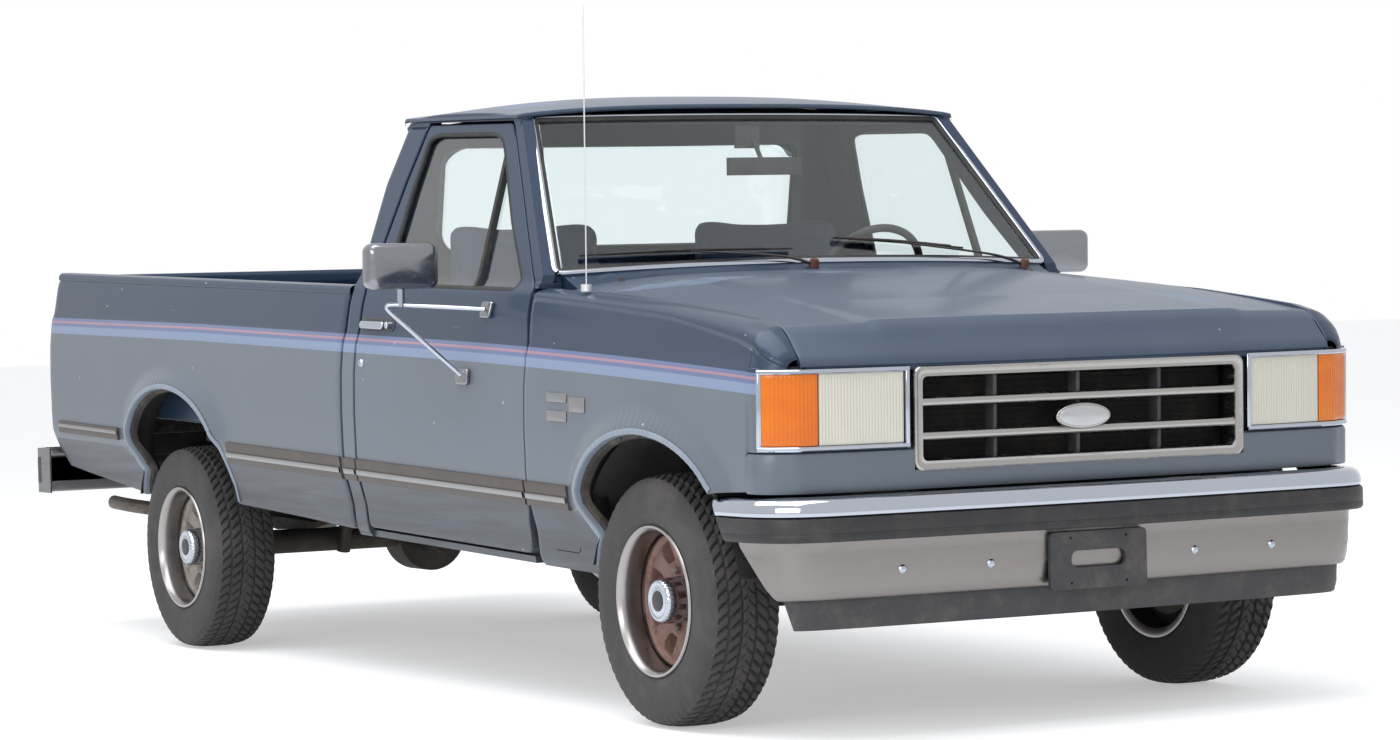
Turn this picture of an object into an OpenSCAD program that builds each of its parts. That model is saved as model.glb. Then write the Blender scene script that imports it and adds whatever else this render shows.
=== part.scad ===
// Full-size two-door pickup truck with a long load bed, in millimetres.
// X points to the front, Y to the left, Z up. The origin is on the ground,
// below the middle of the overall box.

/* [Overall] */
// Distance between the front and rear axles
wheelbase = 3378; // [3000:1:3600]
// Front axle to the front bumper's face
front_overhang = 805; // [780:1:850]
// Rear axle to the rear bumper's face
rear_overhang = 1282; // [1270:1:1350]
// How far the body stands nose down on its unladen springs, in degrees
rake = 1.7; // [1.2:0.1:2.0]

/* [Wheels] */
// Distance between the middles of the front tyres
front_track = 1654; // [1640:1:1670]
// Distance between the middles of the rear tyres
rear_track = 1636; // [1625:1:1650]
// Outside radius of the tyres
tyre_r = 345; // [335:1:348]
// Width of the tyres
tyre_w = 222; // [205:1:225]
// Radius of the wheel rim's lip
rim_r = 205; // [200:1:207]
// Number of windows in each wheel disc
wheel_windows = 8; // [5:1:10]

/* [Body] */
// Half of the hood's width
hood_half = 850; // [840:1:852]
// Height of the bed rails above the level frame's ground line
rail_top = 1150; // [1130:1:1160]
// Height of the bed floor
bed_floor = 655; // [640:1:680]
// Thickness of a single sheet panel
skin = 22; // [16:1:26]
// Thickness of a door's outer shell
door_t = 40; // [34:1:44]
// Gap between neighbouring panels
gap = 8; // [6:1:10]

/* [Hidden] */

$fn = 64;
front_axle_x = (wheelbase + rear_overhang - front_overhang) / 2;
rear_axle_x = front_axle_x - wheelbase;
front_face_x = front_axle_x + front_overhang;
rear_face_x = rear_axle_x - rear_overhang;
axle_z = tyre_r;
// Height of the raked body's own ground line at the front axle
body_lift = 18;
far = 3000;

// Stations along the body, counted from the front axle, in the level frame of the body
door_front = -706;
door_rear = -1852;
cab_back = -1946;
bed_front = -1966;
bed_back = -4515;
tailgate_back = -4534;

// Colours
dark_blue = [0.20, 0.25, 0.32];
light_blue = [0.42, 0.47, 0.53];
chrome = [0.80, 0.81, 0.83];
black = [0.08, 0.08, 0.09];
glass_tint = [0.45, 0.55, 0.55, 0.5];

// Outside of the body in cross-section: half width against height, sill to roof
SIDE = [[905, 366], [920, 400], [928, 470], [944, 530], [958, 575], [962, 640], [966, 760], [965, 880],
    [957, 975], [945, 1006], [932, 1090], [916, 1150], [892, 1184], [752, 1650]];

// ---------- helpers ----------

// Places the level body on its springs
module level() translate([front_axle_x, 0, body_lift]) rotate([0, rake, 0]) children();

// Carries a (Y, Z) outline from x0 to x1
module along_x(x0, x1) translate([x0, 0, 0]) rotate([90, 0, 90]) linear_extrude(x1 - x0) children();

// Carries an (X, Z) outline from y0 to y1
module along_y(y0, y1) translate([0, y1, 0]) rotate([90, 0, 0]) linear_extrude(y1 - y0) children();

// Carries an (X, Y) outline from z0 to z1
module along_z(z0, z1) translate([0, 0, z0]) linear_extrude(z1 - z0) children();

// A box between two corners
module box(a, b) translate(a) cube(b - a);

// A bar along Y of radius r
module rod_y(x, z, r, y0, y1) translate([x, y0, z]) rotate([-90, 0, 0]) cylinder(h = y1 - y0, r = r);

// A rod between two points
module rod(a, b, r) {
    d = b - a;
    translate(a) rotate([0, acos(d[2] / norm(d)), atan2(d[1], d[0])]) cylinder(h = norm(d), r = r,
            $fn = 24);
}

function unit(v) = v / norm(v);

// A route with each inner corner swapped for a smooth bend that starts d before it
function bent(points, d, n = 5) = concat([points[0]],
    [for (i = [1:len(points) - 2])
        let (p = points[i], a = p - d * unit(p - points[i - 1]), b = p + d * unit(points[i + 1] - p))
        for (k = [0:n]) let (t = k / n) (1 - t) * (1 - t) * a + 2 * t * (1 - t) * p + t * t * b],
    [points[len(points) - 1]]);

// A round pipe along a route; ref is a direction that the route never takes
module pipe(route, r, ref = [0, 0, 1], sides = 12) {
    last = len(route) - 1;
    points = [for (i = [0:last])
        let (t = unit(route[min(i + 1, last)] - route[max(i - 1, 0)]), a = unit(cross(t, ref)),
                b = cross(t, a))
        for (k = [0:sides - 1]) route[i] + r * (cos(360 * k / sides) * a + sin(360 * k / sides) * b)];
    walls = [for (i = [0:last - 1], k = [0:sides - 1], h = [0, 1])
        let (a = i * sides + k, b = i * sides + (k + 1) % sides)
        h == 0 ? [a, a + sides, b + sides] : [a, b + sides, b]];
    ends = [[for (k = [0:sides - 1]) k], [for (k = [sides - 1:-1:0]) last * sides + k]];
    polyhedron(points, concat(walls, ends));
}

// Left is as drawn, right is its mirror image
module on_side(s) if (s > 0) children(); else mirror([0, 1, 0]) children();
module both() {
    children();
    mirror([0, 1, 0]) children();
}

// Rounds the convex and concave corners of an outline
module rounded(r) offset(r = -r) offset(delta = r) offset(r = r) offset(delta = -r) children();

// Closed solid between two grids of points with the same rows and columns
module grid_solid(upper, lower) {
    rows = len(upper);
    cols = len(upper[0]);
    n = rows * cols;
    points = concat([for (row = upper) each row], [for (row = lower) each row]);
    top = [for (i = [0:rows - 2], j = [0:cols - 2], t = [0, 1])
        let (a = i * cols + j) t == 0 ? [a, a + 1, a + cols + 1] : [a, a + cols + 1, a + cols]];
    bottom = [for (f = top) [f[0] + n, f[2] + n, f[1] + n]];
    ring = concat([for (j = [0:cols - 1]) j], [for (i = [1:rows - 1]) i * cols + cols - 1],
        [for (j = [cols - 2:-1:0]) (rows - 1) * cols + j], [for (i = [rows - 2:-1:1]) i * cols]);
    rim = [for (k = [0:len(ring) - 1], t = [0, 1])
        let (a = ring[k], b = ring[(k + 1) % len(ring)]) t == 0 ? [a, a + n, b + n] : [a, b + n, b]];
    polyhedron(points, concat(top, bottom, rim));
}

// ---------- shared outlines ----------

// Side wall in cross-section, from depth d0 to depth d1 below the outside
module side_band(d0, d1) polygon(concat([for (p = SIDE) [p[0] - d0, p[1]]],
    [for (i = [len(SIDE) - 1:-1:0]) [SIDE[i][0] - d1, SIDE[i][1]]]));

// Whole cross-section of the body inside the outside surface, less d
module side_fill(d = 0) polygon(concat([for (p = SIDE) [p[0] - d, p[1]]],
    [for (i = [len(SIDE) - 1:-1:0]) [-SIDE[i][0] + d, SIDE[i][1]]]));

// Wheel opening, drawn about the wheel's own station
module arch_outline() rounded(60) polygon([[640, 250], [606, 490], [531, 528], [330, 708], [165, 787],
    [-140, 787], [-330, 680], [-374, 560], [-346, 486], [-374, 408], [-374, 250]]);

module arch_at(u) translate([u, 0]) arch_outline();

// The nose in plan, rounded at its corners
module nose_plan(inset = 0) offset(delta = -inset) rounded(70)
    polygon([[-far, -965], [590, -965], [668, -870], [690, -540], [692, 0],
        [690, 540], [668, 870], [590, 965], [-far, 965]]);

// ---------- frame and running gear ----------

rail_y = 395;
rail_w = 70;
rail_z0 = 345;
rail_z1 = 490;
floor_w = 500;
floor_t = 24;

// Crossmembers: station, bottom and top
CROSS = [[600, 357, 415], [-60, 357, 415], [-1300, 345, 395], [-2100, 432, 488], [-2900, 432, 488],
    [-3800, 357, 415], [-4430, 357, 415]];

module frame_rails() color(black) level() {
    both() difference() {
        box([tailgate_back + 60, rail_y, rail_z0], [690, rail_y + rail_w, rail_z1]);
        box([tailgate_back - 10, rail_y - 10, rail_z0 + 12], [680, rail_y + rail_w - 8, rail_z1 - 12]);
    }
    for (c = CROSS) box([c[0] - 45, -rail_y - 30, c[1]], [c[0] + 45, rail_y + 30, c[2]]);
    // arms that hold the rear bumper
    both() box([tailgate_back - 128, rail_y + 10, 410], [tailgate_back + 100, rail_y + 60, 470]);
}

module engine_block() color("dimgray") level() box([-430, -260, 430], [330, 260, 880]);

module radiator() color(black) level() box([420, -380, 492], [480, 380, 930]);

module driveline() color("gray") {
    level() {
        box([-720, -150, 430], [-431, 150, 690]);
        along_y(-100, 100) polygon([[-720, 430], [-720, 620], [-1240, 560], [-1240, 430]]);
    }
    rod([front_axle_x - 1230, 0, 505], [rear_axle_x + 172, 0, axle_z + 15], 38);
}

axle_r = 42;
module rear_axle() color(black) {
    rod_y(rear_axle_x, axle_z, axle_r, -rear_track / 2 + 40, rear_track / 2 - 40);
    translate([rear_axle_x, 0, axle_z]) rotate([0, 90, 0]) cylinder(h = 130, r = 128, center = true);
    translate([rear_axle_x, 0, axle_z]) rotate([0, 90, 0]) cylinder(h = 165, r = 60);
    both() rod_y(rear_axle_x, axle_z, 140, rear_track / 2 - 85, rear_track / 2 - 30);
    both() rod_y(rear_axle_x, axle_z, spindle_r, rear_track / 2 - 40, rear_track / 2 + 30);
}

module leaf_springs() color(black) both() {
    translate([rear_axle_x, 0, 0]) along_y(500, 565) polygon([[640, 455], [320, 405], [0,
            axle_z + axle_r + 1],
        [-320, 420], [-680, 490], [-680, 504], [-320, 438], [0, axle_z + axle_r + 46], [320, 425], [640,
                470]]);
    // hangers on the outside of the rails
    translate([rear_axle_x + 640, 532, 462]) box([-25, -66, -25], [25, 33, 80]);
    translate([rear_axle_x - 680, 532, 497]) box([-25, -66, -25], [25, 33, 90]);
}

module shock_absorbers() color(black) both()
    rod([rear_axle_x + 75, 350, axle_z - 40], [rear_axle_x + 140, 345, 560], 24);

king_y = front_track / 2 - 117;
spindle_r = 24;

module front_beams() color(black) both() {
    difference() {
        union() {
            translate([front_axle_x, king_y, axle_z - 45]) cylinder(h = 90, r = 34);
            box([front_axle_x - 20, king_y - 110, axle_z - 35], [front_axle_x + 20, king_y - 20,
                    axle_z + 35]);
        }
        translate([front_axle_x, king_y, axle_z - 60]) cylinder(h = 120, r = 15.3);
    }
    box([front_axle_x - 20, 300, axle_z - 35], [front_axle_x + 20, king_y - 100, axle_z + 15]);
    // spring towers, radius arms and their brackets under the rails
    translate([front_axle_x, 526, axle_z + 16]) cylinder(h = 125, r = 56);
    rod([front_axle_x - 19, 490, axle_z - 10], [front_axle_x - 900, 440, axle_z + 10], 20);
    box([front_axle_x - 960, 395, axle_z - 10], [front_axle_x - 880, 465, axle_z + 42]);
    box([front_axle_x - 30, 250, axle_z - 60], [front_axle_x + 30, 301, axle_z + 27]);
}

module knuckle(s) color("dimgray") on_side(s) translate([front_axle_x, king_y, axle_z]) {
    translate([0, 0, -80]) cylinder(h = 160, r = 15);
    for (z = [-80, 52]) box([-22, -22, z], [22, 62, z + 28]);
    box([-30, 42, -80], [30, 62, 80]);
    rod_y(0, 0, spindle_r, 55, 150);
    rod_y(0, 0, 140, 66, 86);
    box([-160, 30, -20], [-28, 50, 0]);
}

function track_at(x) = x > 0 ? front_track : rear_track;

module tyre(x, s) color("#202022") translate([x, 0, axle_z]) on_side(s) rotate([-90, 0, 0])
    translate([0, 0, track_at(x) / 2]) rotate_extrude($fn = 96) polygon([[191, -88], [204, -98], [235,
            -107],
        [275, -tyre_w / 2], [315, -105], [337, -92], [tyre_r, -70], [tyre_r, 70], [337, 92], [315, 105],
        [275, tyre_w / 2], [235, 107], [204, 98], [191, 88]]);

module wheel(x, s) color("silver") translate([x, 0, axle_z]) on_side(s) rotate([-90, 0, 0])
    translate([0, 0, track_at(x) / 2]) difference() {
        rotate_extrude($fn = 96) polygon([[182, -97], [rim_r, -104], [rim_r, -99], [190, -92], [190, 92],
            [rim_r, 99], [rim_r, 104], [182, 97], [165, 60], [165, 34], [110, 30], [62, 44], [62, 86],
                    [56, 92],
            [0, 92], [0, 34], [spindle_r + 0.4, 34], [spindle_r + 0.4, 6], [80, 6], [110, 18], [176, 22],
                    [176, -97]]);
        for (a = [0:360 / wheel_windows:359]) rotate([0, 0, a]) translate([0, 0, 5])
            linear_extrude(50) polygon([[112, -15], [150, -26], [150, 26], [112, 15]]);
    }

// ---------- cab ----------

// Door and its window seen from the side
module door_outline(grow = 0) offset(delta = grow) polygon([[-742, 402], [-742, 480], [door_front, 560],
    [door_front, 975], [-714, 1006], [-738, 1090], [-748, 1160], [-787, 1194], [-1160, 1642],
    [-1722, 1644], [-1784, 1470], [-1832, 1290], [door_rear, 1180], [door_rear, 402]]);

module door_window(grow = 0) offset(delta = grow) rounded(30) polygon([[-862, 1153], [-838, 1185],
        [-1000, 1352],
    [-1192, 1596], [-1250, 1616], [-1660, 1618], [-1712, 1602], [-1742, 1440], [-1770, 1153]]);

module door_gap() along_y(600, 1100) door_outline(gap);

tunnel_y = 172;

module cab_shell() color(dark_blue) level() {
    // floor with the hump over the gearbox
    difference() {
        box([cab_back + 25, -832, floor_w], [-480, 832, floor_w + floor_t]);
        box([-1290, -tunnel_y, 0], [-400, tunnel_y, far]);
    }
    difference() {
        along_y(-tunnel_y - 16, tunnel_y + 16) polygon([[-471, floor_w], [-471, 722], [-740, 722],
                [-1280, 590],
            [-1310, floor_w + 2]]);
        along_y(-tunnel_y, tunnel_y) polygon([[-400, 0], [-400, 704], [-738, 704], [-1266, 574], [-1290,
                0]]);
    }
    // rockers below the doors
    both() along_x(cab_back, -762) polygon([[826, 372], [900, 372], [904, 392], [872, 392], [872,
            floor_w + floor_t],
        [826, floor_w + floor_t]]);
    // firewall and cowl box
    difference() {
        box([-500, -826, floor_w], [-470, 826, 1112]);
        box([-600, -tunnel_y, 0], [-400, tunnel_y, 704]);
    }
    box([-738, -826, 1104], [-470, 826, 1122]);
    both() box([-738, 790, floor_w], [-500, 826, 1122]);
    // windshield pillars and the feet that they stand on
    both() difference() {
        intersection() {
            along_y(690, far) polygon([[-722, 1163], [-727, 1200], [-1112, 1652], [-1180, 1652], [-807,
                    1200], [-760, 1163]]);
            along_x(-1300, -600) side_band(2, 41);
        }
        door_gap();
    }
    both() difference() {
        union() {
            box([-758, 790, 1108], [-722, 856, 1122]);
            box([-758, 826, 1112], [-722, 856, 1175]);
            box([-758, 850, 1163], [-722, 900, 1175]);
        }
        door_gap();
    }
    // rails above the doors
    both() difference() {
        intersection() {
            along_y(680, far) polygon([[-1110, 1632], [-1110, 1660], [-1862, 1660], [-1862, 1632]]);
            along_x(-1900, -1100) polygon([[713, 1630], [756, 1630], [752, 1660], [713, 1660]]);
        }
        door_gap();
    }
    // quarters behind the doors
    both() intersection() {
        difference() {
            along_y(700, far) polygon([[-1500, 372], [-1500, 1653], [-1854, 1660], [-1885, 1590], [-1929,
                    1462],
                [-1942, 1289], [cab_back, 1200], [cab_back, 372]]);
            door_gap();
            along_y(600, 1100) polygon([[-1400, 360], [-1400, 1300], [door_rear - gap, 1180],
                    [door_rear - gap, 360]]);
        }
        along_x(-2000, -1600) side_band(0, 30);
    }
    // back wall with the rear window's opening
    intersection() {
        along_x(-2000, -1800) side_fill(2);
        difference() {
            along_y(-far, far) polygon([[cab_back, floor_w], [cab_back, 1200], [-1942, 1289], [-1929, 1462],
                [-1885, 1590], [-1856, 1658], [-1828, 1658], [-1860, 1590], [-1904, 1462], [-1917, 1289],
                [cab_back + 25, 1200], [cab_back + 25, floor_w]]);
            along_x(-2000, -1800) rounded(50) square_between([-650, 1250], [650, 1585]);
        }
    }
    // windshield header
    box([-1172, -706, 1636], [-1148, 706, 1656]);
    box([-1172, -716, 1651], [-1148, 716, 1658]);
}

module square_between(a, b) translate(a) square(b - a);

// Height of the roof over the drip rails
function roof_rise(s, t) = 6 + 60 * pow(1 - pow(abs(2 * t - 1), 2.6),
        0.8) * pow(sin(180 * (0.14 + 0.74 * s)), 0.8);
function roof_u(s, t) = let (bow = 1 - pow(2 * t - 1,
        2)) (1 - s) * (-1122 + 26 * bow) - s * (1882 + 10 * bow);

module roof() color(dark_blue) level() {
    rows = 12;
    cols = 16;
    upper = [for (i = [0:rows]) [for (j = [0:cols])
        [roof_u(i / rows, j / cols), 760 - 1520 * j / cols, 1661 + roof_rise(i / rows, j / cols)]]];
    grid_solid(upper, [for (row = upper) [for (p = row) [p[0], p[1], max(1661, p[2] - 26)]]]);
}

// Windshield: the glass leans back and bows forward in plan
function glass_point(s, t, d) = let (k = 2 * t - 1)
    [-735 - 395 * s + (38 - 14 * s) * (1 - k * k) + d, k * (838 - 133 * s),
            1205 + 448 * s + (22 - 16 * s) * (1 - k * k)];

// Vented panel between the hood and the windshield
cowl_front = -615;
module cowl() color(black) level() {
    cols = 12;
    rows = [for (j = [0:cols]) let (k = 2 * j / cols - 1, g = glass_point(0, j / cols, 0))
        [[cowl_front, k * 822, hood_w(cowl_front, k) - 6], [g[0] - 2, g[1] * 0.98, g[2] - 3]]];
    grid_solid(rows, [for (row = rows) [for (p = row) [p[0], p[1], 1123]]]);
}

module windshield() color(glass_tint) level() grid_solid(
    [for (i = [0:6]) [for (j = [0:12]) glass_point(i / 6, 1 - j / 12, 0)]],
    [for (i = [0:6]) [for (j = [0:12]) glass_point(i / 6, 1 - j / 12, -8)]]);

module rear_window() color(glass_tint) level() intersection() {
    along_y(-far, far) polygon([[-1931, 1200], [-1931, 1289], [-1917, 1462], [-1873, 1590], [-1867, 1590],
        [-1911, 1462], [-1925, 1289], [-1925, 1200]]);
    along_x(-2000, -1800) rounded(48) square_between([-649, 1251], [649, 1584]);
}

module bench_seat() color("#39434f") level() {
    box([-1620, -690, floor_w + floor_t + 1], [-1330, 690, 700]);
    along_y(-700, 700) rounded(40) polygon([[-1130, 680], [-1110, 845], [-1600, 812], [-1640, 680]]);
    // backrest, in two rounded halves over a common lower part
    along_y(-700, 700) rounded(40) polygon([[-1555, 800], [-1610, 1130], [-1730, 1130], [-1730, 720],
            [-1600, 720]]);
    intersection() {
        along_y(-far, far) rounded(45) polygon([[-1580, 1000], [-1675, 1335], [-1775, 1335], [-1730,
                1000]]);
        along_x(-2000, -1500) {
            rounded(90) square_between([166, 1005], [676, 1335]);
            rounded(90) square_between([-700, 1005], [-200, 1335]);
        }
    }
}

// The steering column runs down and forward from the wheel's hub
column_top = [-1005, 380, 1160];
column_tilt = 31;
column_dir = [cos(column_tilt), 0, -sin(column_tilt)];
column_r = 30;

module dashboard() color("#2c333c") level() difference() {
    along_y(-780, 780) rounded(18) polygon([[-501, 900], [-501, 1150], [-741, 1186], [-890, 1166], [-940,
            1080],
        [-925, 900], [-800, 860]]);
    box([-743, -800, 1102], [0, 800, far]);
    rod(column_top, column_top + 640 * column_dir, column_r + 1);
}

module steering_column() color(black) level()
    rod(column_top + 30 * column_dir, column_top + 560 * column_dir, column_r);

module steering_wheel() color(black) level() translate(column_top) rotate([0, 90 + column_tilt, 0]) {
    rotate_extrude($fn = 72) translate([178, 0]) circle(r = 13, $fn = 24);
    for (a = [25, 155, 270]) rotate([0, 0, a]) translate([0, -14, -8]) cube([172, 28, 14]);
    translate([0, 0, -22]) cylinder(h = 40, r = 48);
}

module cab_mirror() color(black) level() {
    box([-1122, -22, 1560], [-1112, 62, 1630]);
    box([-1060, -85, 1478], [-1035, 165, 1532]);
    rod([-1114, 40, 1590], [-1056, 40, 1512], 7);
}

// ---------- doors ----------

module door(s) color(dark_blue) level() on_side(s) {
    difference() {
        intersection() {
            along_y(600, far) difference() {
                door_outline();
                door_window();
            }
            along_x(-2000, -600) side_band(0, door_t);
        }
        // pockets round the hinge pins, open to the front edge
        for (w = hinge_w) box([hinge_u - 14, 900, w], [door_front + 10, hinge_y + 8, w + hinge_pocket]);
    }
    // thick lower part that holds the window and the trim
    intersection() {
        along_y(600, far) rounded(30) polygon([[-800, 540], [-800, 1128], [-1800, 1128], [-1800, 540]]);
        along_x(-2000, -600) side_band(door_t - 2, 84);
    }
    // bar between the vent window and the main one
    intersection() {
        along_y(600, far) polygon([[-1113, 1140], [-1146, 1630], [-1174, 1630], [-1141, 1140]]);
        along_x(-2000, -600) side_band(8, 15);
    }
    // outside handle
    translate([-1660, 930, 1036]) box([-125, 0, -16], [115, 38, 16]);
    // hinge pins, each across its pocket
    for (w = hinge_w) translate([hinge_u, hinge_y, w - 2]) cylinder(h = hinge_pocket + 4, r = 5);
}

hinge_u = -758;
hinge_y = 947;
hinge_w = [640, 880];
hinge_pocket = 60;

module door_glass(s) color(glass_tint) level() on_side(s) intersection() {
    along_y(600, far) door_window(-0.5);
    along_x(-2000, -600) side_band(16, 22);
}

module mirror_shape(s) color(chrome) level() on_side(s) {
    along_x(-1150, -1078) rounded(28) square_between([1030, 1158], [1274, 1294]);
    translate([-1108, 1143, 1104]) cylinder(h = 60, r = 9, $fn = 24);
    pipe(bent([[-990, 936, 1098], [-1114, 1160, 1115], [-1085, 975, 905]], 45), 8, ref = [1, 0, 0]);
    box([-1015, mirror_foot[0], 1078], [-955, 956, 1118]);
    box([-1120, mirror_foot[1], 880], [-1050, 992, 920]);
}

// Half widths at which the mirror's two feet stand on the door
mirror_foot = [934, 967];

// ---------- front end ----------

// Height of the hood's side edge, which the fender's top follows; the nose drops at the front
nose_top = 556;
NOSE = [[98, 987], [74, 1021], [41, 1055], [26, 1070], [0, 1085]];
function hood_line(u) = let (t = (nose_top - u) / 1204) 1085 + 75 * (1 - (1 - t) * (1 - t));

module fender(s) color(light_blue) level() on_side(s) difference() {
    intersection() {
        fender_block(0);
        along_z(0, far) nose_plan();
    }
    intersection() {
        fender_block(skin);
        along_z(0, far) nose_plan(skin);
        box([-far, 0, 0], [far, far, far]);
    }
    along_y(600, far) arch_at(0);
    door_gap();
    // opening for the corner lamp, and the front panel below it
    box([612, 700, lamp_w0 - 2], [800, 1000, lamp_w1 + 2]);
    box([598, 700, 0], [800, 1000, lamp_w0]);
}

module fender_block(d) intersection() {
    inner = hood_half + gap - (d > 0 ? 200 : 0);
    along_x(-800, 700) polygon(concat([[inner, 372]],
        [for (p = SIDE) if (p[1] < 1100 && p[1] > 372) [p[0] - d, p[1]]], [[922 - d, 1120], [900 - d,
                1180 - d], [inner, 1200 - d]]));
    along_y(600, far) polygon(concat([[700, 672], [400, 672], [400, 372], [-734, 372], [-734, 480],
            [-800, 700], [-800, hood_line(-640) - d],
        [-640, hood_line(-640) - d]], [for (u = [-500:150:500]) [u, hood_line(u) - d]],
        [for (i = [4:-1:0]) [nose_top + NOSE[i][0], NOSE[i][1] - d]], [[700, 980 - d]]));
}

lamp_w0 = 770;
lamp_w1 = 980;

module front_panel() color(light_blue) level() difference() {
    intersection() {
        difference() {
            along_z(0, far) nose_plan();
            along_z(-1, far + 1) nose_plan(skin);
        }
        box([600, -far, 656], [far, far, lamp_w0 - 2]);
    }
    box([600, -545, 700], [far, 545, far]);
}

module grille() color(chrome) level() {
    difference() {
        box([640, -528, 704], [694, 528, 976]);
        for (z = [[728, 781], [798, 866], [882, 944]]) box([630, -507, z[0]], [700, 507, z[1]]);
    }
    for (i = [-1:1]) box([645, i * 260 - 7, 720], [675, i * 260 + 7, 950]);
    // plain plate in the middle
    translate([0, 0, 828]) along_x(690, 698) scale([1, 0.4]) circle(r = 88);
}

module headlamps() color("#c9c9b4") level() both() intersection() {
    along_z(0, far) nose_plan(2);
    box([600, 548, lamp_w0], [far, 811, lamp_w1]);
}

module corner_lamps() color("orange") level() both() intersection() {
    along_z(0, far) nose_plan(2);
    difference() {
        box([614, 814, lamp_w0], [far, far, lamp_w1]);
        along_z(0, far) nose_plan(60);
    }
}

// Height of the hood's skin, with k = -1..1 across it, and how far forward its lip is
function hood_w(u, k) = hood_line(u) + (8 + 34 * min(1, max(0, (200 - u) / 800))) * (1 - pow(abs(k), 4));
function hood_lip(k) = 38 * (1 - pow(abs(k), 3));

module hood() color(dark_blue) level() {
    cols = 14;
    top_rows = 9;
    upper = [for (i = [0:len(NOSE) + top_rows - 1]) [for (j = [0:cols])
        let (k = 1 - 2 * j / cols, t = (i - len(NOSE) + 1) / top_rows, lip = hood_lip(k))
        i < len(NOSE) ? [nose_top + lip + NOSE[i][0], k * hood_half,
                NOSE[i][1] + 2 * i * (1 - pow(abs(k), 4))]
            : let (u = nose_top - t * 1156) [u + lip * (1 - t), k * hood_half, hood_w(u, k)]]];
    grid_solid(upper, [for (i = [0:len(upper) - 1]) [for (p = upper[i])
        let (f = max(0, 1 - i / (len(NOSE) - 1))) [p[0] - 18 * f, p[1], p[2] - 24 * (1 - f)]]]);
    // hinge pins
    both() rod_y(hood_hinge[0], hood_hinge[1], 6, 200, 260);
}

hood_hinge = [-598, 1192];

// Front bumper in plan, following the nose but longer at the ends
module bumper_plan(inset) offset(delta = -inset) rounded(60) polygon([[-400, -995], [440, -995], [620,
        -990],
    [735, -935], [770, -840], [790, -500], [front_overhang, -120], [front_overhang, 120], [790, 500],
    [770, 840], [735, 935], [620, 990], [440, 995], [-400, 995]]);

module bumper_band(z0, z1, d0, d1) translate([front_axle_x, 0, 0]) intersection() {
    along_z(z0, z1) difference() {
        bumper_plan(d0);
        bumper_plan(d1);
    }
    box([430, -far, 0], [far, far, far]);
}

module front_bumper() color(chrome) {
    bumper_band(596, 648, 6, 60);
    bumper_band(530, 597, 30, 50);
    bumper_band(378, 531, 43, 58);
    // brackets to the frame
    both() box([front_axle_x + 707, 400, 420], [front_axle_x + 740, 450, 480]);
}

module bumper_strip() color(black) bumper_band(533, 594, 0, 29.5);

module air_dam() color(black) translate([front_axle_x, 0, 0]) intersection() {
    along_z(300, 377) difference() {
        bumper_plan(80);
        bumper_plan(90);
    }
    box([560, -far, 0], [far, far, far]);
}

plate_bolt_y = 177.8;
plate_bolt_z = 120.6;

module plate_bracket() color(black) translate([front_axle_x + front_overhang - 43, 0, 0]) difference() {
    along_x(0, 12) rounded(12) square_between([-156, 368], [156, 521]);
    along_x(-1, 13) rounded(20) square_between([-88, 425], [88, 470]);
    for (y = [-1, 1], z = [-1, 1]) translate([-1, y * plate_bolt_y / 2, 444.5 + z * plate_bolt_z / 2])
        rotate([0, 90, 0]) cylinder(h = 14, r = 3.5, $fn = 32);
}

// ---------- load bed ----------

wheelhouse_y = 632;

module load_bed() color(dark_blue) level() {
    difference() {
        box([bed_back + 52, -850, bed_floor - 24], [bed_front - 30, 850, bed_floor]);
        both() box([-3378 - 400, wheelhouse_y + 12, 0], [-3378 + 400, 900, far]);
    }
    // front wall
    box([bed_front - 40, -850, bed_floor - 24], [bed_front - 18, 850, rail_top - 24]);
    // sills that carry the floor on the frame
    for (u = [-2100, -2620, -4200]) box([u - 35, -800, rail_z1 + 1], [u + 35, 800, bed_floor - 23]);
    // wheelhouses
    both() difference() {
        along_y(wheelhouse_y, 851) rounded(90) polygon([[-3378 - 430, bed_floor - 90], [-3378 - 400, 860],
            [-3378 + 400, 860], [-3378 + 430, bed_floor - 90]]);
        along_y(wheelhouse_y + 14, 900) rounded(85) polygon([[-3378 - 416, bed_floor - 200],
                [-3378 - 386, 846],
            [-3378 + 386, 846], [-3378 + 416, bed_floor - 200]]);
        box([-3378 - 500, 600, 0], [-3378 + 500, 900, bed_floor - 23.9]);
    }
}

module bedside(s) color(light_blue) level() on_side(s) {
    difference() {
        intersection() {
            along_y(600, far) polygon([[bed_front, 388], [bed_front, rail_top - 6], [bed_back,
                    rail_top - 6],
                [bed_back, 440], [-3378 - 340, 400], [-3378 + 500, 420]]);
            along_x(bed_back, bed_front) side_band(0, skin);
        }
        along_y(600, far) translate([0, -10]) arch_at(-3378);
    }
    // top rail, inner wall and end posts
    box([bed_back, 853, rail_top - 22], [bed_front, 918, rail_top]);
    difference() {
        box([bed_back + 4, 853, bed_floor], [bed_front - 10, 866, rail_top - 20]);
        along_y(600, 1000) translate([0, -10]) arch_at(-3378);
    }
    for (u = [bed_back, bed_front - 30]) box([u, 853, bed_floor - 40], [u + 30, 925, rail_top - 20]);
}

// Trunnion that the tailgate turns on
gate_hinge = [-4500, 698];

module tailgate() color(dark_blue) level() {
    difference() {
        box([tailgate_back, -838, bed_floor + 8], [tailgate_back + 46, 838, rail_top - 12]);
        along_x(tailgate_back - 1, tailgate_back + 8) rounded(20)
            square_between([-700, bed_floor + 90], [700, rail_top - 120]);
    }
    both() rod_y(gate_hinge[0], gate_hinge[1], 8, 837, 848);
}

module tail_lamps() color("#a01818") level() both()
    box([bed_back - 19, 858, 760], [bed_back - 0.4, 930, 1060]);

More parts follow.
